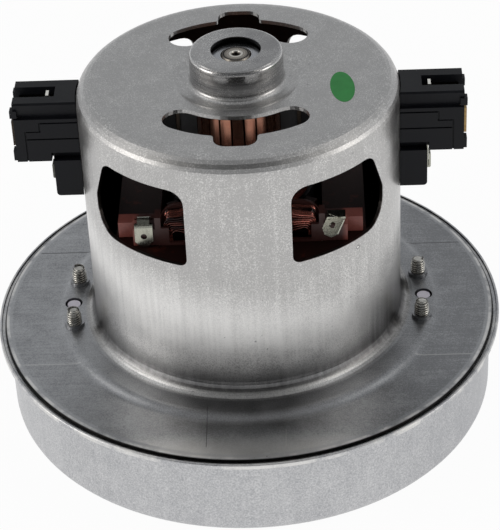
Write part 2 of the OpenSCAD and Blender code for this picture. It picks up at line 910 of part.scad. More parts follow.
// Turns a shape drawn in X and Z about the middle of the stack into a plate across Y
module across_y(y0, y1) {
    translate([0, 0, stack_mid_z])
        along_y(y0, y1)
            children();
}

module frame_shape(x_in, z_in, build, r) {
    difference() {
        polygon(rounded_box(x_in + build, z_in + build, r));
        square([2 * x_in, 2 * z_in], center = true);
    }
}

module bobbin() {
    pole_x = pole_w / 2 + pole_clear;
    pole_z = stack_h / 2 + pole_clear;
    color("firebrick")
        union() {
            across_y(coil_in_y - bobbin_t, coil_out_y + bobbin_t)
                frame_shape(pole_x, pole_z, bobbin_t, 1.5);
            across_y(coil_in_y - bobbin_t, coil_in_y)
                difference() {
                    polygon(rounded_box(pole_x + flange_build, cheek_z, 5));
                    square([2 * pole_x, 2 * pole_z], center = true);
                }
            across_y(coil_out_y, coil_out_y + bobbin_t)
                intersection() {
                    frame_shape(pole_x, pole_z, flange_build, 3);
                    square([4 * pole_w, stack_h + 1.2], center = true);
                }
            for (s = [0, 1])
                mirror([s, 0, 0])
                    terminal_block();
        }
}

// Block that holds a terminal tab, with a post on its inner side, a low wing behind it
// and a bevelled edge that a tab can be bent over
module terminal_block() {
    low_z = stack_top_z + slide_clear;
    post_w = 1.5;
    post_h = 1.6;
    ear_w = 2;
    wing_w = 4;
    wing_y = block_in_y - 4;
    wing_z = low_z + 4.4;
    bevel_in_y = block_out_y - 1.65;
    bevel_low_z = block_top_z - 1.9;
    difference() {
        union() {
            box(block_in_x, block_out_x, block_in_y, block_out_y, low_z, block_top_z);
            box(block_in_x, block_in_x + post_w, block_in_y, block_out_y, low_z, block_top_z + post_h);
            box(block_in_x - ear_w, block_in_x + post_w, coil_out_y, block_out_y,
                low_z, block_top_z - post_h);
            box(block_in_x + post_w, block_out_x + wing_w, wing_y, block_in_y, low_z, wing_z);
            box(block_in_x + post_w, block_out_x, wing_y, block_in_y + past, low_z, wing_z);
        }
        box(tab_in_x - slide_clear, tab_in_x + tab_w + slide_clear,
            tab_slot_y, tab_slot_y + tab_t + 2 * slide_clear, low_z + 2, block_top_z + past);
        along_x(block_in_x + post_w, block_out_x + past)
            polygon([
                [bevel_in_y, block_top_z], [bevel_in_y, block_top_z + past],
                [block_out_y + past, block_top_z + past], [block_out_y + past, bevel_low_z],
                [block_out_y, bevel_low_z]]);
    }
}

module bobbin_front() { mirror([0, 1, 0]) bobbin(); }
module bobbin_rear() { bobbin(); }

module coil_core() {
    core_build = coil_build - wire_d - 0.5;
    color("chocolate")
        across_y(coil_in_y + 0.1, face_y - wire_d / 2 - 0.2)
            frame_shape(sleeve_x + 0.1, sleeve_z + 0.1, core_build, coil_corner_r + core_build);
}

module coil_core_front() { mirror([0, 1, 0]) coil_core(); }
module coil_core_rear() { coil_core(); }

// One point of a coil's wire: it steps outwards late in each face turn and sideways early in each side turn
function coil_point(turn, k) =
    let (f = 2 * k / coil_rings)
    let (grow = wire_pitch * min(turn + max(f - 1, 0), face_turns))
    let (row = turn < face_turns ? 0 : wire_pitch * (turn - face_turns + min(f, 1)))
    let (r = coil_corner_r + grow, in = 0.1 + wire_d / 2 + grow, x = sleeve_x + in, z = sleeve_z + in)
    let (side = floor(k / 6), step = k % 6)
    let (sx = [1, 1, -1, -1][side], sz = [1, -1, -1, 1][side])
    let (c = [sx * (x - r), sz * (z - r)], a = 90 - 90 * side - 22.5 * (step - 1))
    let (p = step == 0
        ? [[0, z], [x, 0], [0, -z], [-x, 0]][side]
        : c + r * [cos(a), sin(a)])
    [p.x, face_y - row, stack_mid_z + p.y];

function coil_path() =
    let (loops = face_turns + side_turns)
    let (p = [for (i = [0:loops * coil_rings]) coil_point(floor(i / coil_rings), i % coil_rings)])
    let (first = unit(p[0] - p[1]) * wire_d, end = unit(p[len(p) - 1] - p[len(p) - 2]) * wire_d)
    concat([p[0] + first], p, [p[len(p) - 1] + end]);

module field_winding() {
    path = coil_path();
    echo(field_wire_least_gap = least_gap(path, coil_rings, wire_d));
    color("chocolate")
        sweep(path, wire_d / 2, 6, [0, 1, 0]);
}

module field_winding_front() { mirror([0, 1, 0]) field_winding(); }
module field_winding_rear() { field_winding(); }

// A terminal tab: a stem in its block, a soft bend over the top and a blade that hangs in front
module hanging_tab() {
    bend_r = 0.9;
    bend_a = 50;
    ease_r = 3.3;
    neck_in = 0.75;
    half = tab_t / 2;
    low_z = stack_top_z + 0.2;
    top_c = [tab_stem_y + half + bend_r, block_top_z - 0.2];
    ease_c = top_c + (bend_r - ease_r) * [cos(bend_a), sin(bend_a)];
    line = function (o) concat(
        [[top_c.x - bend_r - o, tab_low_z]], arc(top_c, bend_r + o, 180, bend_a),
        arc(ease_c, ease_r + o, bend_a, 0), [[ease_c.x + ease_r + o, low_z]]);
    color("lightyellow")
        translate([tab_in_x, 0, 0])
            difference() {
                along_x(0, tab_w)
                    polygon(concat(line(half), reverse(line(-half))));
                along_y(tab_stem_y - past, ease_c.x + ease_r + past)
                    for (side = [0, 1])
                        translate([side * tab_w, 0])
                            mirror([side, 0])
                                union() {
                                    polygon([
                                        [-past, low_z - past], [tab_cut + past, low_z - past],
                                        [-past, low_z + tab_cut + past]]);
                                    translate([-past, top_c.y])
                                        square([neck_in + past, 2 * bend_r]);
                                }
                along_y(ease_c.x, ease_c.x + ease_r + past)
                    translate([tab_w / 2, low_z + tab_hole_in])
                        circle(d = tab_hole_d);
            }
}

// A terminal tab whose blade is raised, tilted down from level and turned sideways
module raised_tab() {
    bend_z = block_top_z + 0.3;
    blade_y = tab_stem_y + tab_t + raised_run;
    color("lightyellow")
        translate([tab_in_x, 0, 0]) {
            box(0, tab_w, tab_stem_y, tab_stem_y + tab_t, tab_low_z, bend_z + tab_t);
            box(0, tab_w, tab_stem_y, blade_y, bend_z, bend_z + tab_t);
            translate([tab_w / 2, blade_y - 0.1, bend_z + tab_t / 2])
                rotate([0, 0, raised_turn])
                    rotate([-raised_tilt, 0, 0])
                        translate([-tab_w / 2, 0, -tab_t / 2])
                            linear_extrude(tab_t)
                                difference() {
                                    polygon([
                                        [0, -0.2], [tab_w, -0.2], [tab_w, raised_l - tab_cut],
                                        [tab_w - tab_cut, raised_l], [tab_cut, raised_l],
                                        [0, raised_l - tab_cut]]);
                                    translate([tab_w / 2, raised_l - tab_hole_in])
                                        circle(d = tab_hole_d);
                                }
        }
}

module terminal_tabs_front() {
    mirror([0, 1, 0]) {
        mirror([1, 0, 0])
            hanging_tab();
        raised_tab();
    }
}

module terminal_tabs_rear() {
    hanging_tab();
    mirror([1, 0, 0])
        hanging_tab();
}

// Brush gear on the +X side, mirrored for the left

module holder_section() {
    half = holder_w / 2;
    high = holder_h / 2;
    neck = half - 1.1;
    polygon([
        [-half, -high], [half, -high], [half, high - 4.7], [neck, high - 4.5],
        [half - 0.1, high - 0.5], [half - 0.5, high], [0.5 - half, high], [0.1 - half, high - 0.5],
        [-neck, high - 4.5], [-half, high - 4.7]]);
}

module holder_grooves() {
    deep = 0.45;
    wide = 0.4;
    y = holder_w / 2;
    panel_x = holder_out_x - 3;
    step_x = holder_out_x - 6.8;
    for (s = [0, 1])
        mirror([0, s, 0]) {
            box(housing_r - past, step_x, y - deep, y + past, brush_z + 2.6, brush_z + 2.6 + wide);
            box(housing_r - past, panel_x, y - deep, y + past, brush_z - 2.2, brush_z - 2.2 + wide);
            box(panel_x, panel_x + wide, y - deep, y + past, brush_z - holder_h / 2 - past, brush_z + 0.4);
            box(step_x, panel_x + wide, y - deep, y + past, brush_z + 0.1, brush_z + 0.4);
            box(step_x, step_x + wide, y - deep, y + past, brush_z + 0.1, brush_z + 2.6 + wide);
        }
}

module brush_holder() {
    half = holder_w / 2;
    low_z = brush_z - holder_h / 2;
    lug_x = holder_out_x + 0.8;
    lug_y = half - 2.4;
    recess_y = tube_y - 0.4;
    leg_corner_r = 1;
    color("darkslategray")
        difference() {
            union() {
                difference() {
                    union() {
                        translate([0, 0, brush_z])
                            along_x(housing_r - 4, holder_out_x)
                                holder_section();
                        along_y(-half, half)
                            polygon(rounded(
                                [[housing_r - 4, low_z + 0.2], [housing_r - 4, low_z - leg_h],
                                 [leg_out_x, low_z - leg_h], [leg_out_x, low_z + 0.2]],
                                [0, 0, leg_corner_r, 0]));
                    }
                    disc(housing_r + wall_clear, low_z - leg_h - past, low_z + holder_h + past);
                }
                for (s = [0, 1])
                    mirror([0, s, 0]) {
                        box(holder_out_x - past, lug_x, lug_y, half, low_z + 0.5, brush_z - cap_z - 1);
                        box(holder_out_x - past, lug_x, lug_y, half, brush_z + cap_z + 0.3, brush_z + 6.6);
                    }
                box(snout_in_x, housing_r + 1.5, -snout_y, snout_y, brush_z - snout_z, brush_z + snout_z);
            }
            box(snout_in_x - past, tube_out_x, -tube_y - slide_clear, tube_y + slide_clear,
                brush_z - tube_z - slide_clear, brush_z + tube_z + slide_clear);
            box(tube_out_x - 0.1, lug_x + past, -cap_y - 0.1, cap_y + 0.1, brush_z - cap_z, brush_z + cap_z);
            box(slot_in_x, lug_x + past, -2.5, 2.5, brush_z, brush_z + holder_h);
            for (s = [0, 1])
                mirror([0, s, 0])
                    box(housing_r - past, leg_out_x + 0.4, recess_y, half + past, low_z, low_z + 2.5);
            box(housing_r + 1.6, leg_out_x - 1.4, -half + 1.4, half - 1.4, low_z - leg_h - past, low_z - 3);
            box(leg_out_x - slide_clear, leg_out_x + terminal_t + 2 * slide_clear,
                -terminal_w / 2 - slide_clear, terminal_w / 2 + slide_clear, low_z - past, brush_z);
            holder_grooves();
        }
}

module brush_tube() {
    tang_x = slot_in_x + 1.6;
    tang_w = 2.6;
    slit_y = 1.2;
    color("gold")
        difference() {
            union() {
                box(tube_in_x, tube_out_x - 0.1, -tube_y, tube_y, brush_z - tube_z, brush_z + tube_z);
                box(tang_x, tang_x + tube_t, -tang_w / 2, tang_w / 2, brush_z, brush_z + holder_h / 2 - 0.4);
            }
            box(tube_in_x - past, tube_out_x, -tube_y + tube_t, tube_y - tube_t,
                brush_z - tube_z + tube_t, brush_z + tube_z - tube_t);
            box(tang_x + 2, tube_out_x, -slit_y, slit_y, brush_z, brush_z + tube_z + past);
        }
}

module brush_cap() {
    color("goldenrod")
        union() {
            box(tube_out_x, holder_out_x + 0.7, -cap_y, cap_y, brush_z - cap_z + 0.1, brush_z + cap_z - 1.1);
            translate([tube_out_x - cap_post_l, 0, brush_z])
                rotate([0, 90, 0])
                    cylinder(r = cap_post_r, h = cap_post_l + 0.5);
        }
}

// Strip from the tube down along the leg, folded up on itself at its end
module brush_terminal() {
    fold_w = 2 * terminal_t + 0.2;
    fold_h = 4.2;
    fold_z = brush_z - holder_h / 2 - 8.3;
    x0 = leg_out_x;
    color("lightyellow")
        along_y(-terminal_w / 2, terminal_w / 2)
            difference() {
                union() {
                    polygon(rounded(
                        [[x0, fold_z], [x0 + fold_w, fold_z],
                         [x0 + fold_w, fold_z + fold_h], [x0, fold_z + fold_h]],
                        [0.4, 0.4, 0.2, 0]));
                    translate([x0, fold_z + 1])
                        square([terminal_t, brush_z - tube_z - fold_z - 1]);
                }
                translate([x0 + terminal_t, fold_z + terminal_t])
                    square([fold_w - 2 * terminal_t, fold_h]);
            }
}

function spring_path() =
    let (x0 = brush_out_x + spring_wire_d / 2 + 0.05, x1 = tube_out_x - spring_wire_d / 2 - 0.05)
    let (count = spring_curls * spring_rings)
    [for (i = [0:count])
        let (a = 360 * i / spring_rings)
        [x0 + (x1 - x0) * i / count, spring_r * cos(a), brush_z + spring_r * sin(a)]];

module brush_spring() {
    p = spring_path();
    last = len(p) - 1;
    lead = function (a, b) let (d = a - b) unit([0, d.y, d.z]) * spring_wire_d;
    path = concat([p[0] + lead(p[0], p[1])], p, [p[last] + lead(p[last], p[last - 1])]);
    echo(brush_spring_least_gap = least_gap(path, spring_rings, spring_wire_d));
    color("silver")
        sweep(path, spring_wire_d / 2, 6, [1, 0, 0]);
}

module brush_lead() {
    color("peru")
        translate([brush_out_x, 0, brush_z])
            rotate([0, 90, 0])
                cylinder(r = 0.7, h = tube_out_x - cap_post_l - brush_out_x);
}

module carbon_brush() {
    half = brush_w / 2;
    high = brush_h / 2;
    color("dimgray")
        difference() {
            box(comm_r * 0.7, brush_out_x, -half, half, brush_z - high, brush_z + high);
            disc(brush_in_x, brush_z - brush_h, brush_z + brush_h);
        }
}

module on_left() {
    mirror([1, 0, 0])
        children();
}

module brush_holder_left() { on_left() brush_holder(); }
module brush_holder_right() { brush_holder(); }
module brush_tube_left() { on_left() brush_tube(); }
module brush_tube_right() { brush_tube(); }
module brush_cap_left() { on_left() brush_cap(); }
module brush_cap_right() { brush_cap(); }
module brush_terminal_left() { on_left() brush_terminal(); }
module brush_terminal_right() { brush_terminal(); }
module brush_spring_left() { on_left() brush_spring(); }
module brush_spring_right() { brush_spring(); }
module brush_lead_left() { on_left() brush_lead(); }
module brush_lead_right() { brush_lead(); }
module carbon_brush_left() { on_left() carbon_brush(); }
module carbon_brush_right() { carbon_brush(); }

motor_housing();
fan_casing();
drive_end_bracket();
diffuser();
clamp_screws();
inlet_seal_ring();
stator_core();
bobbin_front();
bobbin_rear();
coil_core_front();
coil_core_rear();
field_winding_front();
field_winding_rear();
terminal_tabs_front();
terminal_tabs_rear();
brush_holder_left();
brush_holder_right();
brush_tube_left();
brush_tube_right();
brush_cap_left();
brush_cap_right();
brush_terminal_left();
brush_terminal_right();
brush_spring_left();
brush_spring_right();
brush_lead_left();
brush_lead_right();
carbon_brush_left();
carbon_brush_right();
upper_bearing_outer_ring();
lower_bearing_outer_ring();
upper_bearing_shields();
lower_bearing_shields();
upper_ball_cage();
lower_ball_cage();
preload_washer();
shaft();
armature_core();
armature_insulators();
armature_winding();
commutator_hub();
commutator_bars();
commutator_spacer();
upper_bearing_inner_ring();
lower_bearing_inner_ring();
impeller_spacer();
impeller_washers();
impeller_back_plate();
impeller_shroud();
impeller_blades();
impeller_nut();
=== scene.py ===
"""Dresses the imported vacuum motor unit: its finishes, wound wire, threads, springs and studio."""

import logging
import math
import random
from dataclasses import dataclass
from enum import Enum
from typing import Any, Iterable, Mapping, Optional, Sequence, Union

import bmesh
import bpy
from mathutils import Matrix, Vector
from mathutils.bvhtree import BVHTree


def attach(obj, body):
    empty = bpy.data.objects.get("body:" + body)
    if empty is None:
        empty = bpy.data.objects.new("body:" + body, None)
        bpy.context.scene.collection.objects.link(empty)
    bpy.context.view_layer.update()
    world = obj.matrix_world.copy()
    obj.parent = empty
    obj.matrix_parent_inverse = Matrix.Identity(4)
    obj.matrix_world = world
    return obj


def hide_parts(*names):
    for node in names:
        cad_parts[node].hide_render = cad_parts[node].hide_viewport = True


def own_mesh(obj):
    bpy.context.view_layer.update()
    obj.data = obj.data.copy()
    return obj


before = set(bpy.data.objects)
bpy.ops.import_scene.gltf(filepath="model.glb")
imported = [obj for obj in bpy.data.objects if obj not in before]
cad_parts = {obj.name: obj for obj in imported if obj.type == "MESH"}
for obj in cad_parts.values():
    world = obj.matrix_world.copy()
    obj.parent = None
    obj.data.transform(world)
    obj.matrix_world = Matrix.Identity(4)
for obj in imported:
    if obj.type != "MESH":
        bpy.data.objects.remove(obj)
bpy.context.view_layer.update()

log = logging.getLogger("motor_unit")
WELD = 1e-6

Colour = tuple[float, float, float, float]
Span = tuple[float, float]
Place = tuple[float, float, float]


class Body(Enum):
    """The CAD bodies that pieces ride on."""

    MOTOR = "motor_body"
    ROTOR = "rotor"


class Side(Enum):
    """The two brush sides, by the sign of their X."""

    LEFT = -1
    RIGHT = 1


class Pole(Enum):
    """The two field poles, by the sign of their Y."""

    FRONT = -1
    REAR = 1


def srgb(red: float, green: float, blue: float) -> Colour:
    """Turns a display colour into the linear colour that shaders take.

    Args:
        red: Red from 0 to 255.
        green: Green from 0 to 255.
        blue: Blue from 0 to 255.

    Returns:
        Linear red, green, blue and an alpha of one.
    """
    parts = [c / 255 for c in (red, green, blue)]
    lin = [c / 12.92 if c <= 0.04045 else ((c + 0.055) / 1.055) ** 2.4 for c in parts]
    return (lin[0], lin[1], lin[2], 1.0)


class Wire:
    """A shader socket that takes part in arithmetic: each operator adds one Math node."""

    def __init__(self, graph: "Graph", socket: Optional[bpy.types.NodeSocket]) -> None:
        """Keeps the socket and the graph it belongs to."""
        self.graph = graph
        self.socket = socket

    def _math(self, operation: str, first: "Value", second: "Value" = 0.0) -> "Wire":
        """Adds one Math node."""
        return self.graph.add("ShaderNodeMath", {"operation": operation}, {0: first, 1: second})

    def __add__(self, other: "Value") -> "Wire":
        """Adds."""
        return self._math("ADD", self, other)

    def __radd__(self, other: "Value") -> "Wire":
        """Adds, from the right."""
        return self._math("ADD", other, self)

    def __sub__(self, other: "Value") -> "Wire":
        """Subtracts."""
        return self._math("SUBTRACT", self, other)

    def __rsub__(self, other: "Value") -> "Wire":
        """Subtracts, from the right."""
        return self._math("SUBTRACT", other, self)

    def __mul__(self, other: "Value") -> "Wire":
        """Multiplies."""
        return self._math("MULTIPLY", self, other)

    def __rmul__(self, other: "Value") -> "Wire":
        """Multiplies, from the right."""
        return self._math("MULTIPLY", other, self)

    def __pow__(self, other: "Value") -> "Wire":
        """Raises to a power."""
        return self._math("POWER", self, other)

    def __abs__(self) -> "Wire":
        """Drops the sign."""
        return self._math("ABSOLUTE", self)

    def most(self, other: "Value") -> "Wire":
        """The larger of two values."""
        return self._math("MAXIMUM", self, other)

    def least(self, other: "Value") -> "Wire":
        """The smaller of two values."""
        return self._math("MINIMUM", self, other)

    def fold(self, pitch: float) -> "Wire":
        """Runs to and fro between zero and pitch."""
        return self._math("PINGPONG", self, pitch)

    def rise(self, low: float, high: float) -> "Wire":
        """Goes smoothly from zero at low to one at high."""
        return self.graph.add(
            "ShaderNodeMapRange",
            {"interpolation_type": "SMOOTHSTEP"},
            {"Value": self, "From Min": low, "From Max": high, "To Min": 0.0, "To Max": 1.0},
        )

    def near(self, centre: float, half: float, edge: float) -> "Wire":
        """One within half of centre, and zero beyond half plus edge."""
        return 1 - abs(self - centre).rise(half, half + edge)


Value = Union[Wire, float, int, Sequence[float]]


class Graph:
    """One shader tree, filled through a single node-making method."""

    def __init__(self, tree: bpy.types.NodeTree) -> None:
        """Starts from an empty tree."""
        self.tree = tree
        self.tree.nodes.clear()

    def add(
        self,
        kind: str,
        settings: Optional[Mapping[str, Any]] = None,
        inputs: Optional[Mapping[Union[str, int], Value]] = None,
        output: Union[str, int] = 0,
    ) -> Wire:
        """Adds one node.

        Args:
            kind: The node's type.
            settings: Its properties, set first.
            inputs: A value or a wire for each socket named or numbered.
            output: The socket to hand on.

        Returns:
            The chosen output as a wire.
        """
        node = self.tree.nodes.new(kind)
        for key, value in (settings or {}).items():
            setattr(node, key, value)
        for key, value in (inputs or {}).items():
            if isinstance(value, Wire):
                self.tree.links.new(value.socket, node.inputs[key])
            else:
                node.inputs[key].default_value = value
        return Wire(self, node.outputs[output] if node.outputs else None)

    def point(self, scale: Sequence[float] = (1, 1, 1), turn: Sequence[float] = (0, 0, 0)) -> Wire:
        """Object coordinates, turned and stretched.

        Args:
            scale: How much each axis is stretched.
            turn: The turn about each axis in radians.

        Returns:
            The coordinates as a vector.
        """
        place = self.add("ShaderNodeTexCoord", output="Object")
        return self.add("ShaderNodeMapping", None, {"Vector": place, "Scale": scale, "Rotation": turn})

    def axis(self, name: str) -> Wire:
        """One of the object coordinates X, Y or Z."""
        place = self.add("ShaderNodeTexCoord", output="Object")
        return self.add("ShaderNodeSeparateXYZ", None, {0: place}, name)

    def radius(self) -> Wire:
        """The distance from the motor's axis."""
        x, y = self.axis("X"), self.axis("Y")
        return (x * x + y * y) ** 0.5

    def noise(self, scale: float, detail: float = 3.0, vector: Optional[Wire] = None) -> Wire:
        """Cloudy noise about one half.

        Args:
            scale: Patches to the metre, or to one unit of vector.
            detail: Octaves of finer noise.
            vector: Where it is read; object coordinates where it is left out.

        Returns:
            The noise from zero to one.
        """
        return self.add(
            "ShaderNodeTexNoise",
            {"noise_dimensions": "3D"},
            {"Vector": vector or self.point(), "Scale": scale, "Detail": detail, "Roughness": 0.6},
        )

    def mix(self, factor: Value, first: Value, second: Value) -> Wire:
        """Goes from one colour to another by factor."""
        return self.add("ShaderNodeMix", {"data_type": "RGBA"}, {0: factor, 6: first, 7: second}, 2)

    def bump(self, height: Wire, depth: float) -> Wire:
        """A normal from a height of so many metres."""
        return self.add("ShaderNodeBump", None, {"Height": height, "Distance": depth, "Strength": 1.0})

    def surface(self, sockets: Mapping[str, Value]) -> None:
        """Ends the tree with a Principled shader that takes these sockets."""
        shader = self.add("ShaderNodeBsdfPrincipled", None, sockets)
        self.add("ShaderNodeOutputMaterial", None, {"Surface": shader})


@dataclass(frozen=True)
class Finish:
    """A material by name: each kind of finish paints its own graph."""

    name: str

    def paint(self, graph: Graph) -> dict[str, Value]:
        """Gives the shader's sockets."""
        raise NotImplementedError

    def material(self) -> bpy.types.Material:
        """Makes the material at its first use.

        Returns:
            The material of this name.
        """
        found = bpy.data.materials.get(self.name)
        if found is None:
            found = bpy.data.materials.new(self.name)
            found.use_nodes = True
            graph = Graph(found.node_tree)
            graph.surface(self.paint(graph))
        return found


@dataclass(frozen=True)
class Metal(Finish):
    """Plain metal with grain, cloudy tone and lines drawn or turned in it."""

    pale: Colour
    dark: Colour
    roughness: float
    lines: Place = (300.0, 300.0, 300.0)
    grain: float = 2500.0
    cloud: float = 220.0
    depth: float = 4e-6

    def paint(self, graph: Graph) -> dict[str, Value]:
        """Mixes two tones by grain, cloud and lines."""
        grain = graph.noise(self.grain, 2.0)
        cloud = graph.noise(self.cloud, 4.0)
        lines = graph.noise(1.0, 3.0, graph.point(self.lines))
        tone = 0.5 + (grain - 0.5) * 0.5 + (cloud - 0.5) * 1.0 + (lines - 0.5) * 0.8
        return {
            "Base Color": graph.mix(tone, self.dark, self.pale),
            "Metallic": 1.0,
            "Roughness": self.roughness + (cloud - 0.5) * 0.2 + (grain - 0.5) * 0.1,
            "Normal": graph.bump(lines + grain * 0.5, self.depth),
        }


@dataclass(frozen=True)
class TurnedMetal(Metal):
    """Metal turned or ground about the motor's axis, with rings on its ends."""

    rings: float = 4000.0

    def paint(self, graph: Graph) -> dict[str, Value]:
        """Adds fine rings that follow the radius and the height."""
        sockets = super().paint(graph)
        height = graph.axis("Z")
        along = graph.add(
            "ShaderNodeCombineXYZ", None, {"X": graph.radius() * self.rings, "Y": height * self.rings}
        )
        rings = graph.noise(1.0, 2.0, along)
        sockets["Base Color"] = graph.mix(rings.rise(0.3, 0.75), self.dark, self.pale)
        sockets["Normal"] = graph.bump(rings, self.depth)
        return sockets


@dataclass(frozen=True)
class CentredEnd(TurnedMetal):
    """Ground metal whose end has painted shade in its centre hole and groove, and a ring of painted
    highlight.
    """

    hole_r: float = 0.0009
    hole_soft: float = 0.0003
    rim_r: float = 0.0015
    rim_half: float = 0.0002
    groove_r: float = 0.0032
    groove_half: float = 0.00012
    soft: float = 0.0002
    shade: Colour = srgb(20, 18, 17)
    glint: Colour = srgb(232, 228, 220)

    def paint(self, graph: Graph) -> dict[str, Value]:
        """Lays the hole's and the groove's painted shade and the ring's painted highlight over the turned
        metal.
        """
        sockets = super().paint(graph)
        radius = graph.radius()
        rim = radius.near(self.rim_r, self.rim_half, self.soft)
        colour = graph.mix(rim * 0.8, sockets["Base Color"], self.glint)
        groove = radius.near(self.groove_r, self.groove_half, self.soft)
        hole = 1 - radius.rise(self.hole_r, self.hole_r + self.hole_soft)
        sockets["Base Color"] = graph.mix(groove.most(hole), colour, self.shade)
        return sockets


@dataclass(frozen=True)
class TangedBrass(Metal):
    """Brass tube darkened by painted shade, with a painted highlight on its tang's end."""

    tang_z: float = 0.0930
    soft: float = 0.0001
    glint: Colour = srgb(250, 248, 240)

    def paint(self, graph: Graph) -> dict[str, Value]:
        """Brightens what stands above tang_z with a painted highlight."""
        sockets = super().paint(graph)
        tang = graph.axis("Z").rise(self.tang_z - self.soft, self.tang_z + self.soft)
        sockets["Base Color"] = graph.mix(tang, sockets["Base Color"], self.glint)
        return sockets


@dataclass(frozen=True)
class SheetPoint:
    """A point of the drawn sheet: its place, and the noise that varies the finish there."""

    x: Wire
    y: Wire
    height: Wire
    radius: Wire
    speck: Wire
    cloud: Wire
    drawn: Wire
    turned: Wire


@dataclass(frozen=True)
class Scribe:
    """A line scribed on the flange along Y: its middle, half its length and the fade of its ends."""

    x: float
    y: float
    half: float
    fade: float
    line_half: float = 0.00006
    line_fade: float = 0.0001

    def mask(self, at: SheetPoint) -> Wire:
        """One on the line, zero beside it."""
        return at.x.near(self.x, self.line_half, self.line_fade) * at.y.near(self.y, self.half, self.fade)


@dataclass(frozen=True)
class HousingSheet(Finish):
    """Zinc plated drawn sheet of the housing: wall, crown, boss and a flange darkened by painted shade."""

    pale: Colour = srgb(236, 235, 233)
    dark: Colour = srgb(176, 175, 174)
    # Colour of painted highlights: the band on the lower wall and the dent's centre
    bright: Colour = srgb(252, 251, 249)
    # Flange colours, darker than the wall's: painted shade on the upward-facing flange
    flange_pale: Colour = srgb(188, 189, 191)
    flange_dark: Colour = srgb(132, 133, 135)
    # Colour of pale wear marks, and of painted highlights on the flange's rim and edge
    wear_and_sheen: Colour = srgb(240, 238, 234)
    # Colour of random pitting, and of painted shade on the bearing boss
    pitting_and_shade: Colour = srgb(110, 110, 112)
    # Colour of painted shade on the inner skin and the windows' cut edges
    inner_skin_shade: Colour = srgb(70, 66, 64)
    # Colour of scribed lines, and of painted shade at the wall's foot and round the dent
    scribe_and_shade: Colour = srgb(92, 92, 94)
    # Colour of streaked staining and painted shade on the lower sides of the wall
    side_stain_and_shade: Colour = srgb(58, 55, 54)
    # Colour of the painted shade on the front of the foot and the flange
    film: Colour = srgb(74, 72, 70)
    # Colour of painted shade in the hole in the boss and the groove round the flange
    recess_shade: Colour = srgb(26, 25, 25)
    housing_r: float = 0.0420
    sheet_t: float = 0.0011
    shoulder_r: float = 0.0045
    crown_z: float = 0.0983
    window_top_z: float = 0.0900
    moat_r: float = 0.0182
    boss_r: float = 0.0132
    boss_z: float = 0.0980
    boss_top_z: float = 0.1058
    hole_r: float = 0.0068
    soft: float = 0.001
    shade_z: Span = (0.034, 0.070)
    # Heights and slant of the painted highlight band on the lower wall
    sheen_low_z: Span = (0.034, 0.044)
    sheen_high_z: Span = (0.044, 0.062)
    sheen_tilt: float = 0.2
    foot_z: Span = (0.0290, 0.0370)
    foot_r: Span = (0.0426, 0.0436)
    # Where the lower sides take staining and painted shade
    side_dark_z: Span = (0.034, 0.058)
    side_dark_right_x: Span = (0.018, 0.039)
    side_dark_left_x: Span = (0.031, 0.041)
    gloss_drop: float = 0.0020
    gloss_half: float = 0.0014
    gloss_fade: float = 0.0016
    gloss_r: Span = (0.036, 0.038)
    # Where the painted shade on the front of the foot and the flange lies
    front_shade_y: float = -0.0474
    front_shade_half: float = 0.0050
    front_shade_fade: float = 0.0080
    front_shade_x: Span = (0.006, 0.034)
    front_shade_z: Span = (0.0285, 0.0305)
    flange_z: Span = (0.0292, 0.0307)
    flange_in_r: Span = (0.0440, 0.0455)
    plain_r: Span = (0.0515, 0.0520)
    plain_end_r: Span = (0.0653, 0.0657)
    rim_r: Span = (0.0650, 0.0656)
    edge_r: Span = (0.0659, 0.0664)
    groove_r: Span = (0.0668, 0.0671)
    rear_y: Span = (0.0, 0.01)
    front_y: Span = (-0.01, 0.0)
    stroke_x: Span = (0.030, 0.050)
    shaded_x: Span = (0.020, 0.055)
    front_sheen_y: Span = (-0.0650, -0.0560)
    front_sheen_x: Span = (0.020, 0.050)
    chord_y: float = 0.0261
    chord_half: float = 0.00014
    chord_fade: float = 0.00016
    scratch: Scribe = Scribe(-0.0101, -0.0545, 0.0070, 0.0010)
    nick: Scribe = Scribe(0.0102, -0.0590, 0.0030, 0.0006)
    # The dent's place, and the reach of its painted shade ring and painted highlight
    dent: Place = (0.02985, -0.02954, 0.06394)
    dent_rim: Span = (0.0004, 0.0008)
    dent_pit: Span = (0.0001, 0.0005)

    def read(self, graph: Graph) -> SheetPoint:
        """Reads a point's place, and the speckle, clouds, draw lines and turned lines there."""
        return SheetPoint(
            x=graph.axis("X"),
            y=graph.axis("Y"),
            height=graph.axis("Z"),
            radius=graph.radius(),
            speck=graph.noise(2900.0, 2.0),
            cloud=graph.noise(160.0, 5.0),
            drawn=graph.noise(1.0, 3.0, graph.point((700.0, 700.0, 24.0))),
            turned=graph.noise(1.0, 3.0, graph.point((60.0, 60.0, 2600.0))),
        )

    def depth(self, at: SheetPoint) -> Wire:
        """How far a point lies under the outer skin of wall, shoulder and crown.

        Args:
            at: The point.

        Returns:
            The depth in metres, zero on the skin.
        """
        out = at.radius - (self.housing_r - self.shoulder_r)
        up = at.height - (self.crown_z - self.shoulder_r)
        past_out, past_up = out.most(0.0), up.most(0.0)
        corner = (past_out * past_out + past_up * past_up) ** 0.5
        return self.shoulder_r - corner - out.most(up).least(0.0)

    def on_inner_skin(self, at: SheetPoint) -> Wire:
        """One on the inner skin and on the cut edges of the windows, which take painted shade.

        Args:
            at: The point.

        Returns:
            The mask.
        """
        deep = self.depth(at)
        below = 1 - at.height.rise(self.window_top_z, self.window_top_z + 2 * self.soft)
        cut = deep.rise(self.sheet_t * 0.1, self.sheet_t * 0.3) * below
        skin = deep.rise(self.sheet_t * 0.9, self.sheet_t * 0.99)
        return skin.most(cut) * at.radius.rise(self.moat_r, self.moat_r + self.soft)

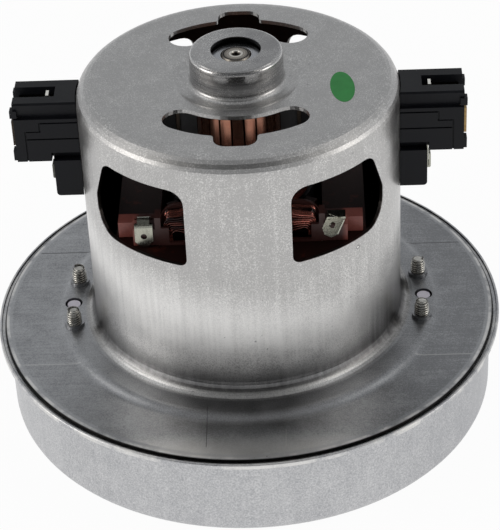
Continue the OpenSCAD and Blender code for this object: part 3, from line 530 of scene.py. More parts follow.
    def on_flange(self, at: SheetPoint) -> Wire:
        """One on the flange, zero on wall and crown."""
        return (1 - at.height.rise(*self.flange_z)) * at.radius.rise(*self.flange_in_r)

    def on_boss(self, at: SheetPoint) -> Wire:
        """One on the bearing boss."""
        within = 1 - at.radius.rise(self.boss_r, self.boss_r + self.soft)
        return within * at.height.rise(self.boss_z, self.boss_z + self.soft)

    def in_hole(self, at: SheetPoint) -> Wire:
        """One on the wall of the hole in the boss."""
        within = 1 - at.radius.rise(self.hole_r - self.soft / 5, self.hole_r)
        return within * (1 - at.height.rise(self.boss_top_z, self.boss_top_z + self.soft / 5))

    def on_shoulder(self, at: SheetPoint) -> Wire:
        """One on the rounded shoulder between wall and crown."""
        band = at.height.near(self.crown_z - self.gloss_drop, self.gloss_half, self.gloss_fade)
        return band * at.radius.rise(*self.gloss_r)

    def in_front_shade(self, at: SheetPoint) -> Wire:
        """One where painted shade darkens the front of the foot and the flange."""
        front = at.y.near(self.front_shade_y, self.front_shade_half, self.front_shade_fade) * (1 - abs(at.x).rise(*self.front_shade_x))
        return front * (1 - at.height.rise(*self.front_shade_z))

    def wall(self, graph: Graph, at: SheetPoint) -> Wire:
        """The colour of wall and crown: painted shade higher up, a painted highlight band low on the wall,
        painted shade at the foot, and streaked staining with painted shade on the lower sides.

        Args:
            graph: The graph that it is worked out in.
            at: The point.

        Returns:
            The colour.
        """
        tone = 0.5 + (at.speck - 0.5) * 2.7 + (at.cloud - 0.5) * 0.8 + (at.drawn - 0.5) * 0.7
        tone = tone - at.height.rise(*self.shade_z) * 0.7 + 0.25
        colour = graph.mix(tone, self.dark, self.pale)
        # Painted highlight: a slanting bright band on the lower wall stands in for reflected light
        over = (at.height + at.x * self.sheen_tilt).rise(*self.sheen_high_z)
        painted_sheen = at.height.rise(*self.sheen_low_z) * (1 - over)
        colour = graph.mix(painted_sheen * (0.35 + at.drawn * 0.7), colour, self.bright)
        # Painted shade: the wall's foot, where it meets the flange, is darkened
        foot = (1 - at.height.rise(*self.foot_z)) * (1 - at.radius.rise(*self.foot_r))
        colour = graph.mix(foot * (0.5 + at.drawn * 0.6), colour, self.scribe_and_shade)
        # Streaked staining and painted shade darken the lower sides, more on the right
        sides = at.x.rise(*self.side_dark_right_x) * 0.7 + (0 - at.x).rise(*self.side_dark_left_x) * 0.5
        side_darkened = sides * (1 - at.height.rise(*self.side_dark_z))
        return graph.mix(side_darkened * (0.5 + at.drawn * 0.9), colour, self.side_stain_and_shade)

    def flange(self, graph: Graph, at: SheetPoint) -> Wire:
        """The flange's colour: brushed lines, scribed marks, painted shade to the right and in the outer
        groove, and painted highlights on the rim, its front and its rounded edge.

        Args:
            graph: The graph that it is worked out in.
            at: The point.

        Returns:
            The colour.
        """
        brushed = graph.noise(1.0, 3.0, graph.point((45.0, 1400.0, 45.0)))
        strokes = (brushed - 0.5) * (0.15 + abs(at.x).rise(*self.stroke_x) * 0.45)
        tone = 0.5 + (at.speck - 0.5) * 1.6 + (at.cloud - 0.5) * 0.9 + strokes
        tone = tone - at.x.rise(*self.shaded_x) * 0.4
        colour = graph.mix(tone, self.flange_dark, self.flange_pale)
        # Painted highlight on the front of the flange's rim
        front_rim_sheen = (1 - at.y.rise(*self.front_sheen_y)) * (1 - abs(at.x).rise(*self.front_sheen_x))
        colour = graph.mix(front_rim_sheen * 0.6, colour, self.wear_and_sheen)
        plain = at.radius.rise(*self.plain_r) * (1 - at.radius.rise(*self.plain_end_r))
        chord = abs(at.y).near(self.chord_y, self.chord_half, self.chord_fade) * plain
        rear, front = at.y.rise(*self.rear_y), 1 - at.y.rise(*self.front_y)
        colour = graph.mix((chord * rear).most(self.scratch.mask(at)) * 0.75, colour, self.scribe_and_shade)
        colour = graph.mix((chord * front).most(self.nick.mask(at)) * 0.25, colour, self.wear_and_sheen)
        # Painted highlight round the flange's rim and on its rounded edge
        colour = graph.mix(at.radius.rise(*self.rim_r) * 0.35, colour, self.flange_pale)
        edge = at.radius.rise(*self.edge_r) * at.cloud.rise(0.35, 0.6)
        colour = graph.mix(edge * 0.7, colour, self.wear_and_sheen)
        # Painted shade in the groove between the flange's edge and the casing
        return graph.mix(at.radius.rise(*self.groove_r), colour, self.recess_shade)

    def dented(self, graph: Graph, colour: Wire) -> Wire:
        """Sets the small dent under the right window into a colour: a ring of painted shade round a
        painted highlight.

        Args:
            graph: The graph that it is worked out in.
            colour: The colour round it.

        Returns:
            The colour with the dent.
        """
        away = graph.add(
            "ShaderNodeVectorMath", {"operation": "DISTANCE"}, {0: graph.point(), 1: self.dent}, "Value"
        )
        colour = graph.mix((1 - away.rise(*self.dent_rim)) * 0.8, colour, self.scribe_and_shade)
        return graph.mix(1 - away.rise(*self.dent_pit), colour, self.bright)

    def paint(self, graph: Graph) -> dict[str, Value]:
        """Lays wall, flange, boss and marks over each other, with their painted shade and highlights."""
        at = self.read(graph)
        flange, boss = self.on_flange(at), self.on_boss(at)
        colour = graph.mix(flange, self.wall(graph, at), self.flange(graph, at))
        # Painted shade on the front of the foot and the flange
        colour = graph.mix(self.in_front_shade(at) * 0.55, colour, self.film)
        # Painted shade on the inner skin and the windows' cut edges
        colour = graph.mix(self.on_inner_skin(at) * (1 - flange), colour, self.inner_skin_shade)
        # Painted shade on the boss, broken by its turned lines
        colour = graph.mix(boss * (0.12 + at.turned.rise(0.4, 0.7) * 0.5), colour, self.pitting_and_shade)
        # Painted shade on the wall of the hole in the boss
        colour = graph.mix(self.in_hole(at), colour, self.recess_shade)
        spots = graph.noise(900.0, 1.0).rise(0.74, 0.80)
        colour = self.dented(graph, graph.mix(spots * 0.5, colour, self.pitting_and_shade))
        rough = 0.36 + (at.cloud - 0.5) * 0.2 + (at.speck - 0.5) * 0.2
        relief = at.speck * 0.6 + at.drawn * 0.5 + boss * at.turned * 0.8
        return {
            "Base Color": colour,
            "Metallic": 1.0,
            "Roughness": rough - boss * 0.12 + self.on_shoulder(at) * 0.05,
            "Normal": graph.bump(relief, 2.2e-5),
        }


@dataclass(frozen=True)
class CasingSheet(Finish):
    """Zinc plated sheet of the fan casing: a pale wall under a rolled lip with a painted highlight."""

    pale: Colour = srgb(208, 208, 209)
    dark: Colour = srgb(164, 165, 168)
    # Colour of the painted highlight on the lip
    lip_sheen: Colour = srgb(236, 234, 230)
    # Colour of painted shade in the groove
    recess_shade: Colour = srgb(30, 30, 30)
    lip_z: float = 0.0228
    ledge_z: float = 0.0251
    groove_r: float = 0.0683
    shaded_x: Span = (0.030, 0.068)
    soft: float = 0.0001

    def paint(self, graph: Graph) -> dict[str, Value]:
        """Sets speckle over the drawn wall, a painted highlight in patches on the lip, and painted shade
        to the right and in the groove.
        """
        height = graph.axis("Z")
        speck = graph.noise(2400.0, 2.0)
        cloud = graph.noise(140.0, 5.0)
        drawn = graph.noise(1.0, 3.0, graph.point((420.0, 420.0, 60.0)))
        tone = 0.5 + (speck - 0.5) * 2.4 + (cloud - 0.5) * 0.8 + (drawn - 0.5) * 0.5
        tone = tone - graph.axis("X").rise(*self.shaded_x) * 0.35
        colour = graph.mix(tone, self.dark, self.pale)
        # Painted highlight in patches on the lip
        painted_sheen = height.rise(self.lip_z, self.lip_z + 10 * self.soft) * cloud.rise(0.4, 0.62)
        colour = graph.mix(painted_sheen * 0.6, colour, self.lip_sheen)
        within = 1 - graph.radius().rise(self.groove_r - self.soft, self.groove_r + self.soft)
        groove = height.rise(self.ledge_z - 2 * self.soft, self.ledge_z) * within
        # Painted shade in the groove where the housing's flange sits
        colour = graph.mix(groove, colour, self.recess_shade)
        return {
            "Base Color": colour,
            "Metallic": 1.0,
            "Roughness": 0.42 + (cloud - 0.5) * 0.2 + (speck - 0.5) * 0.12,
            "Normal": graph.bump(speck * 0.6 + drawn * 0.3, 1.4e-5),
        }


@dataclass(frozen=True)
class Moulded(Finish):
    """Moulded plastic or board: fine grain and flow marks in its colour."""

    pale: Colour
    dark: Colour
    roughness: float = 0.5
    grain: float = 2600.0
    flow: float = 120.0
    depth: float = 1.2e-5
    shine: float = 0.5

    def paint(self, graph: Graph) -> dict[str, Value]:
        """Mixes two tones by flow marks and grain."""
        grain = graph.noise(self.grain, 2.0)
        flow = graph.noise(self.flow, 4.0)
        tone = 0.5 + (flow - 0.5) * 1.4 + (grain - 0.5) * 0.6
        return {
            "Base Color": graph.mix(tone, self.dark, self.pale),
            "Metallic": 0.0,
            "Specular IOR Level": self.shine,
            "Roughness": self.roughness + (flow - 0.5) * 0.25 + (grain - 0.5) * 0.1,
            "Normal": graph.bump(grain + flow * 0.3, self.depth),
        }


@dataclass(frozen=True)
class MiddleShadedMoulding(Moulded):
    """A moulding with painted shade that darkens it towards the motor's middle."""

    unshaded_x: float = 0.0268
    fade_in: float = 0.0012
    fade_out: float = 0.0004
    # Colour of the painted shade towards the middle
    middle_shade: Colour = srgb(34, 14, 12)

    def paint(self, graph: Graph) -> dict[str, Value]:
        """Darkens with painted shade what lies nearer the middle than the given reach."""
        sockets = super().paint(graph)
        unshaded = abs(graph.axis("X")).rise(self.unshaded_x - self.fade_in, self.unshaded_x + self.fade_out)
        sockets["Base Color"] = graph.mix(unshaded * 0.88 + 0.12, self.middle_shade, sockets["Base Color"])
        return sockets


@dataclass(frozen=True)
class Laminated(Finish):
    """A stack of stamped sheets, with a dark line between each two."""

    pale: Colour = srgb(112, 112, 116)
    dark: Colour = srgb(52, 52, 56)
    rust: Colour = srgb(92, 66, 50)
    sheet: float = 0.0005

    def paint(self, graph: Graph) -> dict[str, Value]:
        """Lays the sheet lines along the height."""
        ridge = graph.axis("Z").fold(self.sheet / 2) * (2 / self.sheet)
        seam = ridge.rise(0.0, 0.35)
        cloud = graph.noise(260.0, 4.0)
        grain = graph.noise(3000.0, 2.0)
        colour = graph.mix(seam * (0.5 + cloud * 0.7), self.dark, self.pale)
        colour = graph.mix(cloud.rise(0.55, 0.75) * 0.5, colour, self.rust)
        return {
            "Base Color": colour,
            "Metallic": 0.8,
            "Roughness": 0.5 + (grain - 0.5) * 0.2,
            "Normal": graph.bump(seam + grain * 0.3, 3e-5),
        }


@dataclass(frozen=True)
class Enamelled(Finish):
    """Copper wire under a clear red-brown enamel."""

    pale: Colour = srgb(232, 140, 122)
    dark: Colour = srgb(38, 9, 8)

    def paint(self, graph: Graph) -> dict[str, Value]:
        """Varies the enamel along and across the wires: its dark tone is painted shade and its pale
        streaks are painted highlights.
        """
        cloud = graph.noise(300.0, 4.0)
        grain = graph.noise(1800.0, 2.0)
        strand = graph.noise(1.0, 2.0, graph.point((25.0, 700.0, 700.0)))
        tone = 0.26 + (cloud - 0.5) * 0.6 + (grain - 0.5) * 0.4 + (strand - 0.5) * 4.0
        return {
            "Base Color": graph.mix(tone, self.dark, self.pale),
            "Metallic": 0.9,
            "Roughness": 0.24 + (cloud - 0.5) * 0.2,
            "Coat Weight": 0.6,
            "Coat Roughness": 0.12,
            "Normal": graph.bump(grain, 4e-6),
        }


@dataclass(frozen=True)
class Commutator(Finish):
    """Turned copper bars with the dark polished track of the brushes."""

    pale: Colour = srgb(250, 194, 166)
    dark: Colour = srgb(186, 116, 90)
    track: Colour = srgb(96, 54, 42)
    track_z: float = 0.0865
    track_half: float = 0.0052
    track_soft: float = 0.0008

    def paint(self, graph: Graph) -> dict[str, Value]:
        """Lays turning rings and the brush track along the height."""
        height = graph.axis("Z")
        rings = graph.noise(1.0, 3.0, graph.point((200.0, 200.0, 6000.0)))
        cloud = graph.noise(350.0, 3.0)
        worn = height.near(self.track_z, self.track_half, self.track_soft)
        colour = graph.mix(0.5 + (rings - 0.5) * 1.2 + (cloud - 0.5), self.dark, self.pale)
        return {
            "Base Color": graph.mix(worn * (0.35 + cloud * 0.5), colour, self.track),
            "Metallic": 0.8,
            "Roughness": 0.24 - worn * 0.06 + (cloud - 0.5) * 0.15,
            "Normal": graph.bump(rings, 5e-6),
        }


@dataclass(frozen=True)
class Felt(Finish):
    """Pressed felt: matted fibres on a cream ground."""

    pale: Colour = srgb(222, 216, 200)
    dark: Colour = srgb(170, 162, 144)

    def paint(self, graph: Graph) -> dict[str, Value]:
        """Tangles stretched noise into fibres."""
        fibre = graph.noise(1.0, 5.0, graph.point((900.0, 2600.0, 2600.0), (0.3, 0.2, 0.7)))
        other = graph.noise(1.0, 5.0, graph.point((2600.0, 900.0, 2600.0), (0.2, 0.4, 0.3)))
        mat = fibre.most(other)
        return {
            "Base Color": graph.mix(mat.rise(0.35, 0.75), self.dark, self.pale),
            "Roughness": 0.95,
            "Sheen Weight": 0.3,
            "Normal": graph.bump(mat, 1.5e-4),
        }


@dataclass(frozen=True)
class StickerFilm(Finish):
    """Bare green printed film with a satin face."""

    pale: Colour = srgb(46, 142, 66)
    dark: Colour = srgb(28, 112, 46)

    def paint(self, graph: Graph) -> dict[str, Value]:
        """Varies the print and wrinkles the film a little."""
        cloud = graph.noise(420.0, 3.0)
        grain = graph.noise(5200.0, 2.0)
        wrinkle = graph.noise(1.0, 2.0, graph.point((260.0, 90.0, 260.0)))
        return {
            "Base Color": graph.mix(0.5 + (cloud - 0.5) + (grain - 0.5) * 0.5, self.dark, self.pale),
            "Specular IOR Level": 0.25,
            "Roughness": 0.34 + (cloud - 0.5) * 0.2,
            "Normal": graph.bump(wrinkle + grain * 0.1, 3e-5),
        }


HOUSING_SHEET = HousingSheet("housing_zinc_sheet")
CASING_SHEET = CasingSheet("casing_zinc_sheet")
BRACKET_SHEET = Metal("bracket_zinc_sheet", srgb(172, 174, 178), srgb(120, 122, 126), 0.42)
NICKEL = Metal("nickel_plate", srgb(222, 220, 214), srgb(124, 121, 114), 0.2, grain=4000.0)
PEG_PLASTIC = Moulded("white_moulding", srgb(226, 222, 230), srgb(196, 190, 202), 0.45)
SEAL_FELT = Felt("seal_felt_mat")
LAMINATIONS = Laminated("stacked_laminations")
FIELD_LAMINATIONS = Laminated(
    "varnished_laminations", srgb(104, 66, 56), srgb(44, 20, 16), srgb(110, 48, 34)
)
# Bobbin resin with painted shade towards the motor's middle
BOBBIN_RESIN = MiddleShadedMoulding("bobbin_resin", srgb(146, 84, 74), srgb(100, 50, 44), 0.42)
WIRE_ENAMEL = Enamelled("wire_enamel")
# Enamelled wire darkened by painted shade, for the solid inner turns of coils and armature
WINDING_CORE = Enamelled("inner_turns", srgb(48, 18, 14), srgb(18, 6, 5))
TIN_PLATE = Metal("tin_plate", srgb(192, 192, 178), srgb(130, 130, 120), 0.26, (900, 900, 160))
# Holder plastic with painted shade on what lies inside the housing
HOLDER_PLASTIC = MiddleShadedMoulding(
    "holder_black", srgb(20, 21, 26), srgb(9, 10, 13), 0.46, shine=0.2, unshaded_x=0.0418, middle_shade=srgb(4, 4, 5)
)
BRASS = Metal("brass_strip", srgb(182, 158, 112), srgb(104, 76, 46), 0.3, (160, 160, 1400))
# Brass darkened by painted shade, for the tubes and the left cap
SHADED_BRASS = TangedBrass("shaded_brass", srgb(72, 64, 56), srgb(34, 30, 27), 0.3, (160, 160, 1400))
# Tin darkened by painted shade, for the left terminal
SHADED_TIN = Metal("shaded_tin", srgb(112, 112, 106), srgb(64, 64, 60), 0.4, (900, 900, 160))
SPRING_WIRE = Metal("spring_wire", srgb(186, 186, 184), srgb(120, 120, 120), 0.26)
COPPER_BRAID = Metal("copper_braid", srgb(206, 124, 84), srgb(130, 66, 40), 0.4)
BAR_COPPER = Commutator("commutator_copper")
CARBON = Moulded("pressed_carbon", srgb(62, 62, 64), srgb(30, 30, 32), 0.5, 4200.0)
BEARING_STEEL = TurnedMetal("bearing_steel_ground", srgb(206, 207, 210), srgb(136, 138, 142), 0.2)
SHIELD_STEEL = TurnedMetal("shield_sheet", srgb(32, 31, 30), srgb(12, 12, 12), 0.5)
SHAFT_STEEL = CentredEnd("shaft_ground", srgb(182, 176, 166), srgb(104, 98, 92), 0.26)
FIBRE_BOARD = Moulded("fibre_board", srgb(148, 74, 62), srgb(98, 44, 38), 0.6)
PHENOLIC = Moulded("hub_resin", srgb(92, 54, 38), srgb(52, 28, 20), 0.4)
ALUMINIUM = Metal("pressed_aluminium", srgb(216, 217, 220), srgb(164, 165, 168), 0.36)
STICKER_FILM = StickerFilm("green_film")


def set_out(name: str, data: bpy.types.ID) -> bpy.types.Object:
    """Sets a mesh, curve, light or camera into the scene.

    Args:
        name: The object's name.
        data: What it shows.

    Returns:
        The object.
    """
    holder = bpy.data.objects.new(name, data)
    bpy.context.scene.collection.objects.link(holder)
    return holder


def meshed(name: str, bm: bmesh.types.BMesh) -> bpy.types.Mesh:
    """Writes a shape into a mesh of this name, and frees it.

    Args:
        name: The mesh's name.
        bm: The shape.

    Returns:
        The mesh.
    """
    mesh = bpy.data.meshes.new(name)
    bm.to_mesh(mesh)
    bm.free()
    return mesh


def lathe(profile: Sequence[Span], steps: int) -> bmesh.types.BMesh:
    """Spins a line of radius and height points about Z.

    Args:
        profile: The points from the lower pole to the upper one, in metres.
        steps: Facets about the axis.

    Returns:
        The closed surface.
    """
    bm = bmesh.new()
    line = [bm.verts.new((radius, 0.0, height)) for radius, height in profile]
    edges = [bm.edges.new(pair) for pair in zip(line, line[1:])]
    bmesh.ops.spin(
        bm, geom=line + edges, cent=(0, 0, 0), axis=(0, 0, 1), dvec=(0, 0, 0),
        angle=2 * math.pi, steps=steps, use_merge=True,
    )
    bmesh.ops.remove_doubles(bm, verts=bm.verts, dist=WELD)
    bmesh.ops.recalc_face_normals(bm, faces=bm.faces)
    return bm


def wire_mesh(
    name: str, paths: Iterable[Sequence[Vector]], radius: float, sides: int = 6
) -> bpy.types.Mesh:
    """Draws round wire along paths.

    Args:
        name: The mesh's name.
        paths: The points of each wire, in metres.
        radius: Half the wire's thickness in metres.
        sides: Facets about the wire, an even number from four.

    Returns:
        The wires as one smooth mesh.
    """
    curve = bpy.data.curves.new(name, "CURVE")
    curve.dimensions = "3D"
    curve.bevel_depth = radius
    curve.bevel_resolution = (sides - 4) // 2
    curve.use_fill_caps = True
    for path in paths:
        spline = curve.splines.new("POLY")
        spline.points.add(len(path) - 1)
        for point, place in zip(spline.points, path):
            point.co = (place[0], place[1], place[2], 1.0)
    holder = set_out(name, curve)
    ready = holder.evaluated_get(bpy.context.evaluated_depsgraph_get())
    mesh = bpy.data.meshes.new_from_object(ready)
    bpy.data.objects.remove(holder)
    bpy.data.curves.remove(curve)
    mesh.name = name
    mesh.materials.clear()
    for face in mesh.polygons:
        face.use_smooth = True
    return mesh


class SubAssembly:
    """What every sub-assembly does: dress its CAD nodes and set its own pieces in place."""

    def dress(self, finish: Finish, *nodes: str) -> None:
        """Gives CAD nodes a finish.

        Args:
            finish: The finish to give.
            nodes: The nodes' names.
        """
        for node in nodes:
            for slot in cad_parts[node].material_slots:
                slot.material = finish.material()
            log.info("dressed %s with %s", node, finish.name)

    def softened(self, node: str, width: float) -> bmesh.types.BMesh:
        """Copies a CAD node and rounds its sharp edges.

        Args:
            node: The node's name.
            width: How far the rounding reaches from each edge, in metres.

        Returns:
            The copy.
        """
        bm = bmesh.new()
        bm.from_mesh(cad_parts[node].data)
        flat_to, sharp_from = math.radians(1), math.radians(30)
        bmesh.ops.remove_doubles(bm, verts=bm.verts, dist=WELD)
        bmesh.ops.dissolve_limit(
            bm, angle_limit=flat_to, verts=bm.verts, edges=bm.edges, use_dissolve_boundaries=False
        )
        sharp = [e for e in bm.edges if e.is_manifold and e.calc_face_angle() > sharp_from]
        bmesh.ops.bevel(
            bm, geom=sharp, offset=width, segments=2, profile=0.5, affect="EDGES", clamp_overlap=True,
            material=-1,
        )
        bmesh.ops.recalc_face_normals(bm, faces=bm.faces)
        for face in bm.faces:
            face.smooth = False
        return bm

    def place(
        self,
        name: str,
        shape: Union[bpy.types.Mesh, bmesh.types.BMesh],
        finish: Finish,
        body: Body,
        slot: str = "",
        stands_for: Sequence[str] = (),
    ) -> bpy.types.Object:
        """Makes a shape a piece of the object.

        Args:
            name: The piece's name.
            shape: Its mesh, already in place.
            finish: Its finish.
            body: The body that it rides on.
            slot: The record's material slot, where it has one; not used.
            stands_for: CAD nodes that it replaces.

        Returns:
            The piece.
        """
        mesh = meshed(name, shape) if isinstance(shape, bmesh.types.BMesh) else shape
        mesh.materials.clear()
        mesh.materials.append(finish.material())
        piece = set_out(name, mesh)
        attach(piece, body.value)
        if stands_for:
            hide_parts(*stands_for)
        log.info("built %s: %d faces, on %s", name, len(mesh.polygons), body.value)
        return piece


@dataclass
class Housing(SubAssembly):
    """The drawn housing and the oval sticker on its crown."""

    crown_z: float = 0.0983
    sticker_at: Span = (0.0270, -0.0073)
    sticker_long: float = 0.0150
    sticker_wide: float = 0.0062
    sticker_turn: float = 4.0
    sticker_steps: int = 64
    film: float = 0.00008

    def sticker(self) -> bmesh.types.BMesh:
        """Cuts the oval film and lays it on the crown.

        Returns:
            The film with a small rounded edge.
        """
        bm = bmesh.new()
        bmesh.ops.create_circle(bm, cap_ends=True, segments=self.sticker_steps, radius=0.5)
        raised = bmesh.ops.extrude_face_region(bm, geom=bm.faces[:])
        top = [v for v in raised["geom"] if isinstance(v, bmesh.types.BMVert)]
        bmesh.ops.translate(bm, verts=top, vec=(0, 0, 1))
        bmesh.ops.scale(bm, verts=bm.verts, vec=(self.sticker_wide, self.sticker_long, self.film))
        rim = [e for e in bm.edges if all(v in set(top) for v in e.verts)]
        bmesh.ops.bevel(
            bm, geom=rim, offset=self.film * 0.4, segments=2, profile=0.5, affect="EDGES", material=-1
        )
        turn = Matrix.Rotation(math.radians(self.sticker_turn), 4, "Z")
        bmesh.ops.transform(bm, matrix=turn, verts=bm.verts)
        bmesh.ops.translate(bm, verts=bm.verts, vec=(*self.sticker_at, self.crown_z))
        bmesh.ops.recalc_face_normals(bm, faces=bm.faces)
        return bm

    def build(self) -> None:
        """Dresses the sheet and adds the sticker."""
        self.dress(HOUSING_SHEET, "motor_housing")
        self.place("crown_sticker", self.sticker(), STICKER_FILM, Body.MOTOR)


@dataclass
class ClampScrews(SubAssembly):
    """The four threaded screws whose tips stand above the flange."""

    circle_r: float = 0.0484
    spread: float = 11.8
    head_z: float = 0.0152
    head_top_z: float = 0.0174
    tip_z: float = 0.0322
    head_r: float = 0.0037
    thread_r: float = 0.0020
    head_edge: float = 0.0006
    core_r: float = 0.00164
    tip_h: float = 0.0011
    dome: tuple[Span, ...] = ((1.0, 1.0), (0.92, 0.52), (0.72, 0.2), (0.4, 0.05))
    pitch: float = 0.0007
    crest: Span = (0.42, 0.5)
    thread_end: float = 0.92
    thread_gap: float = 0.0004
    sink: float = 0.00006
    fade_h: float = 0.0018
    fade: float = 0.0014
    slack: float = 0.00002
    turned: float = 3.0
    steps: int = 20

    def outline(self) -> list[Span]:
        """The screw's outline from its head to its domed tip.

        Returns:
            Points of radius and height.
        """
        rim, edge = self.head_r, self.head_edge
        return [
            (0.0, self.head_z),
            (rim - edge, self.head_z),
            (rim - edge / 3, self.head_z + edge / 3),
            (rim, self.head_z + edge),
            (rim, self.head_top_z),
            (self.core_r, self.head_top_z),
            *((self.core_r * share, self.tip_z - self.tip_h * drop) for share, drop in self.dome),
            (0.0, self.tip_z),
        ]

    def screw(self) -> bmesh.types.BMesh:
        """Turns the core with its head, and winds the thread round it.

        Returns:
            One screw that stands on the origin's axis.
        """
        bm = lathe(self.outline(), self.steps)
        start_z = self.head_top_z + self.thread_gap
        turns = int((self.tip_z - self.thread_gap - start_z) / self.pitch)
        root_r = self.core_r - self.sink
        corners = [
            (root_r, 0.0), (self.thread_r, self.crest[0]), (self.thread_r, self.crest[1]),
            (root_r, self.thread_end),
        ]
        ridge = [bm.verts.new((radius, 0, start_z + self.pitch * share)) for radius, share in corners]
        edges = [bm.edges.new((ridge[i], ridge[(i + 1) % 4])) for i in range(4)]
        bm.faces.new(ridge)
        wound = bmesh.ops.spin(
            bm, geom=ridge + edges, cent=(0, 0, 0), axis=(0, 0, 1),
            dvec=(0, 0, self.pitch / self.steps), angle=2 * math.pi * turns, steps=self.steps * turns,
        )
        last = [v for v in wound["geom_last"] if isinstance(v, bmesh.types.BMVert)]
        bmesh.ops.contextual_create(bm, geom=last)
        for vert in bm.verts:
            reach = vert.co.xy.length
            over = vert.co.z - (self.tip_z - self.fade_h)
            if over > 0 and reach > self.core_r + self.slack:
                keep = max(0.0, 1 - over / self.fade)
                vert.co.xy *= (self.core_r + (reach - self.core_r) * keep) / reach
        bmesh.ops.recalc_face_normals(bm, faces=bm.faces)
        return bm

    def build(self) -> None:
        """Sets the four screws and replaces their plain solids."""
        mesh = meshed("screw_blank", self.screw())
        bm = bmesh.new()
        for base in (0.0, 180.0):
            for lean in (-self.spread, self.spread):
                angle = math.radians(base + lean)
                before = set(bm.verts)
                bm.from_mesh(mesh)
                fresh = [v for v in bm.verts if v not in before]
                place = Matrix.Translation(
                    (self.circle_r * math.cos(angle), self.circle_r * math.sin(angle), 0)
                ) @ Matrix.Rotation(angle * self.turned, 4, "Z")
                bmesh.ops.transform(bm, matrix=place, verts=fresh)
        bpy.data.meshes.remove(mesh)
        for face in bm.faces:
            face.smooth = True
        self.place("threaded_screws", bm, NICKEL, Body.MOTOR, "screw_steel", ["clamp_screws"])


@dataclass
class FanCase(SubAssembly):
    """The fan casing with what is clamped in it: seal ring, diffuser and bracket."""

    def build(self) -> None:
        """Dresses the casing's pieces."""
        self.dress(CASING_SHEET, "fan_casing")
        self.dress(SEAL_FELT, "inlet_seal_ring")
        self.dress(PEG_PLASTIC, "diffuser")
        self.dress(BRACKET_SHEET, "drive_end_bracket")


@dataclass
class FieldCoil(SubAssembly):
    """One field coil: enamelled wire wound in layers on its bobbin."""

    pole: Pole
    sleeve_z: float = 0.0131
    mid_z: float = 0.0545
    in_y: float = 0.0238
    out_y: float = 0.0289
    build_up: float = 0.0086
    corner_r: float = 0.0013
    end_x: float = 0.0174
    end_lean: float = 0.24
    gather_x: float = 0.0085
    gather: float = 0.55
    wire_d: float = 0.00042
    lay: float = 2.9
    row_lay: float = 1.06
    stray: float = 0.00007
    ripple: float = 6.3
    swing: float = 0.6
    seed: int = 11
    corner_steps: int = 4
    run_steps: int = 8

    def loop(self, grow: float) -> list[Span]:
        """One turn round the sleeve, whose runs draw together towards the corners.

        Args:
            grow: How far outside the sleeve the wire's middle runs.

        Returns:
            Points of X and Z about the pole's middle.
        """
        end_x = self.end_x + self.end_lean * grow
        bundle_z = self.sleeve_z + self.build_up / 2
        corner: list[Span] = []
        for step in range(self.run_steps + 1):
            x = (end_x - self.corner_r) * step / self.run_steps
            share = min(1.0, max(0.0, (x - self.gather_x) / (self.end_x - self.gather_x)))
            drawn = self.gather * share * share * (3 - 2 * share)
            corner.append((x, bundle_z + (self.sleeve_z + grow - bundle_z) * (1 - drawn)))
        turn_x, turn_z = corner[-1][0], corner[-1][1] - self.corner_r
        for step in range(1, self.corner_steps + 1):
            angle = math.pi / 2 * (1 - step / self.corner_steps)
            corner.append(
                (turn_x + self.corner_r * math.cos(angle), turn_z + self.corner_r * math.sin(angle))
            )
        right = corner + [(x, -z) for x, z in reversed(corner)]
        return right[::-1] + [(-x, z) for x, z in right[1:-1]]

    def path(self) -> list[Vector]:
        """The whole wire from the inmost turn to the last.

        Returns:
            The wire's points in metres.
        """
        rng = random.Random(self.seed + self.pole.value)
        pitch = self.wire_d * self.lay
        rows = int((self.out_y - self.in_y - self.wire_d) / (self.wire_d * self.row_lay)) + 1
        layers = int((self.build_up - self.wire_d) / pitch) + 1
        step_y = (self.out_y - self.in_y - self.wire_d - 2 * self.stray) / (rows - 1)
        points: list[Vector] = []
        for layer in range(layers):
            grow = self.wire_d / 2 + self.stray + layer * pitch
            for turn in range(rows):
                row = turn if layer % 2 == 0 else rows - 1 - turn
                sway = [rng.uniform(-1, 1) * self.stray for _ in range(4)]
                turn_points = self.loop(grow)
                for index, (x, z) in enumerate(turn_points):
                    share = index / len(turn_points)
                    wave = math.sin(2 * math.pi * (share + sway[0] / self.stray))
                    y = self.in_y + self.wire_d / 2 + self.stray + row * step_y
                    y += sway[1] * wave + sway[2] * math.cos(self.ripple * share)
                    swell = 1 + sway[3] * self.swing * wave / math.hypot(x, z)
                    points.append(
                        Vector((x * swell, self.pole.value * y, self.mid_z + z * swell))
                    )
        return points

    def build(self) -> None:
        """Winds the coil and dresses what carries it."""
        name = self.pole.name.lower()
        self.place(
            f"wound_coil_{name}",
            wire_mesh(f"wound_coil_{name}", [self.path()], self.wire_d / 2),
            WIRE_ENAMEL, Body.MOTOR, "enamel_copper", [f"field_winding_{name}"],
        )
        self.dress(BOBBIN_RESIN, f"bobbin_{name}")
        self.dress(WINDING_CORE, f"coil_core_{name}")
        self.dress(TIN_PLATE, f"terminal_tabs_{name}")


@dataclass
class FieldCore(SubAssembly):
    """The laminated field core that both poles are part of."""

    def build(self) -> None:
        """Dresses the core."""
        self.dress(FIELD_LAMINATIONS, "stator_core")


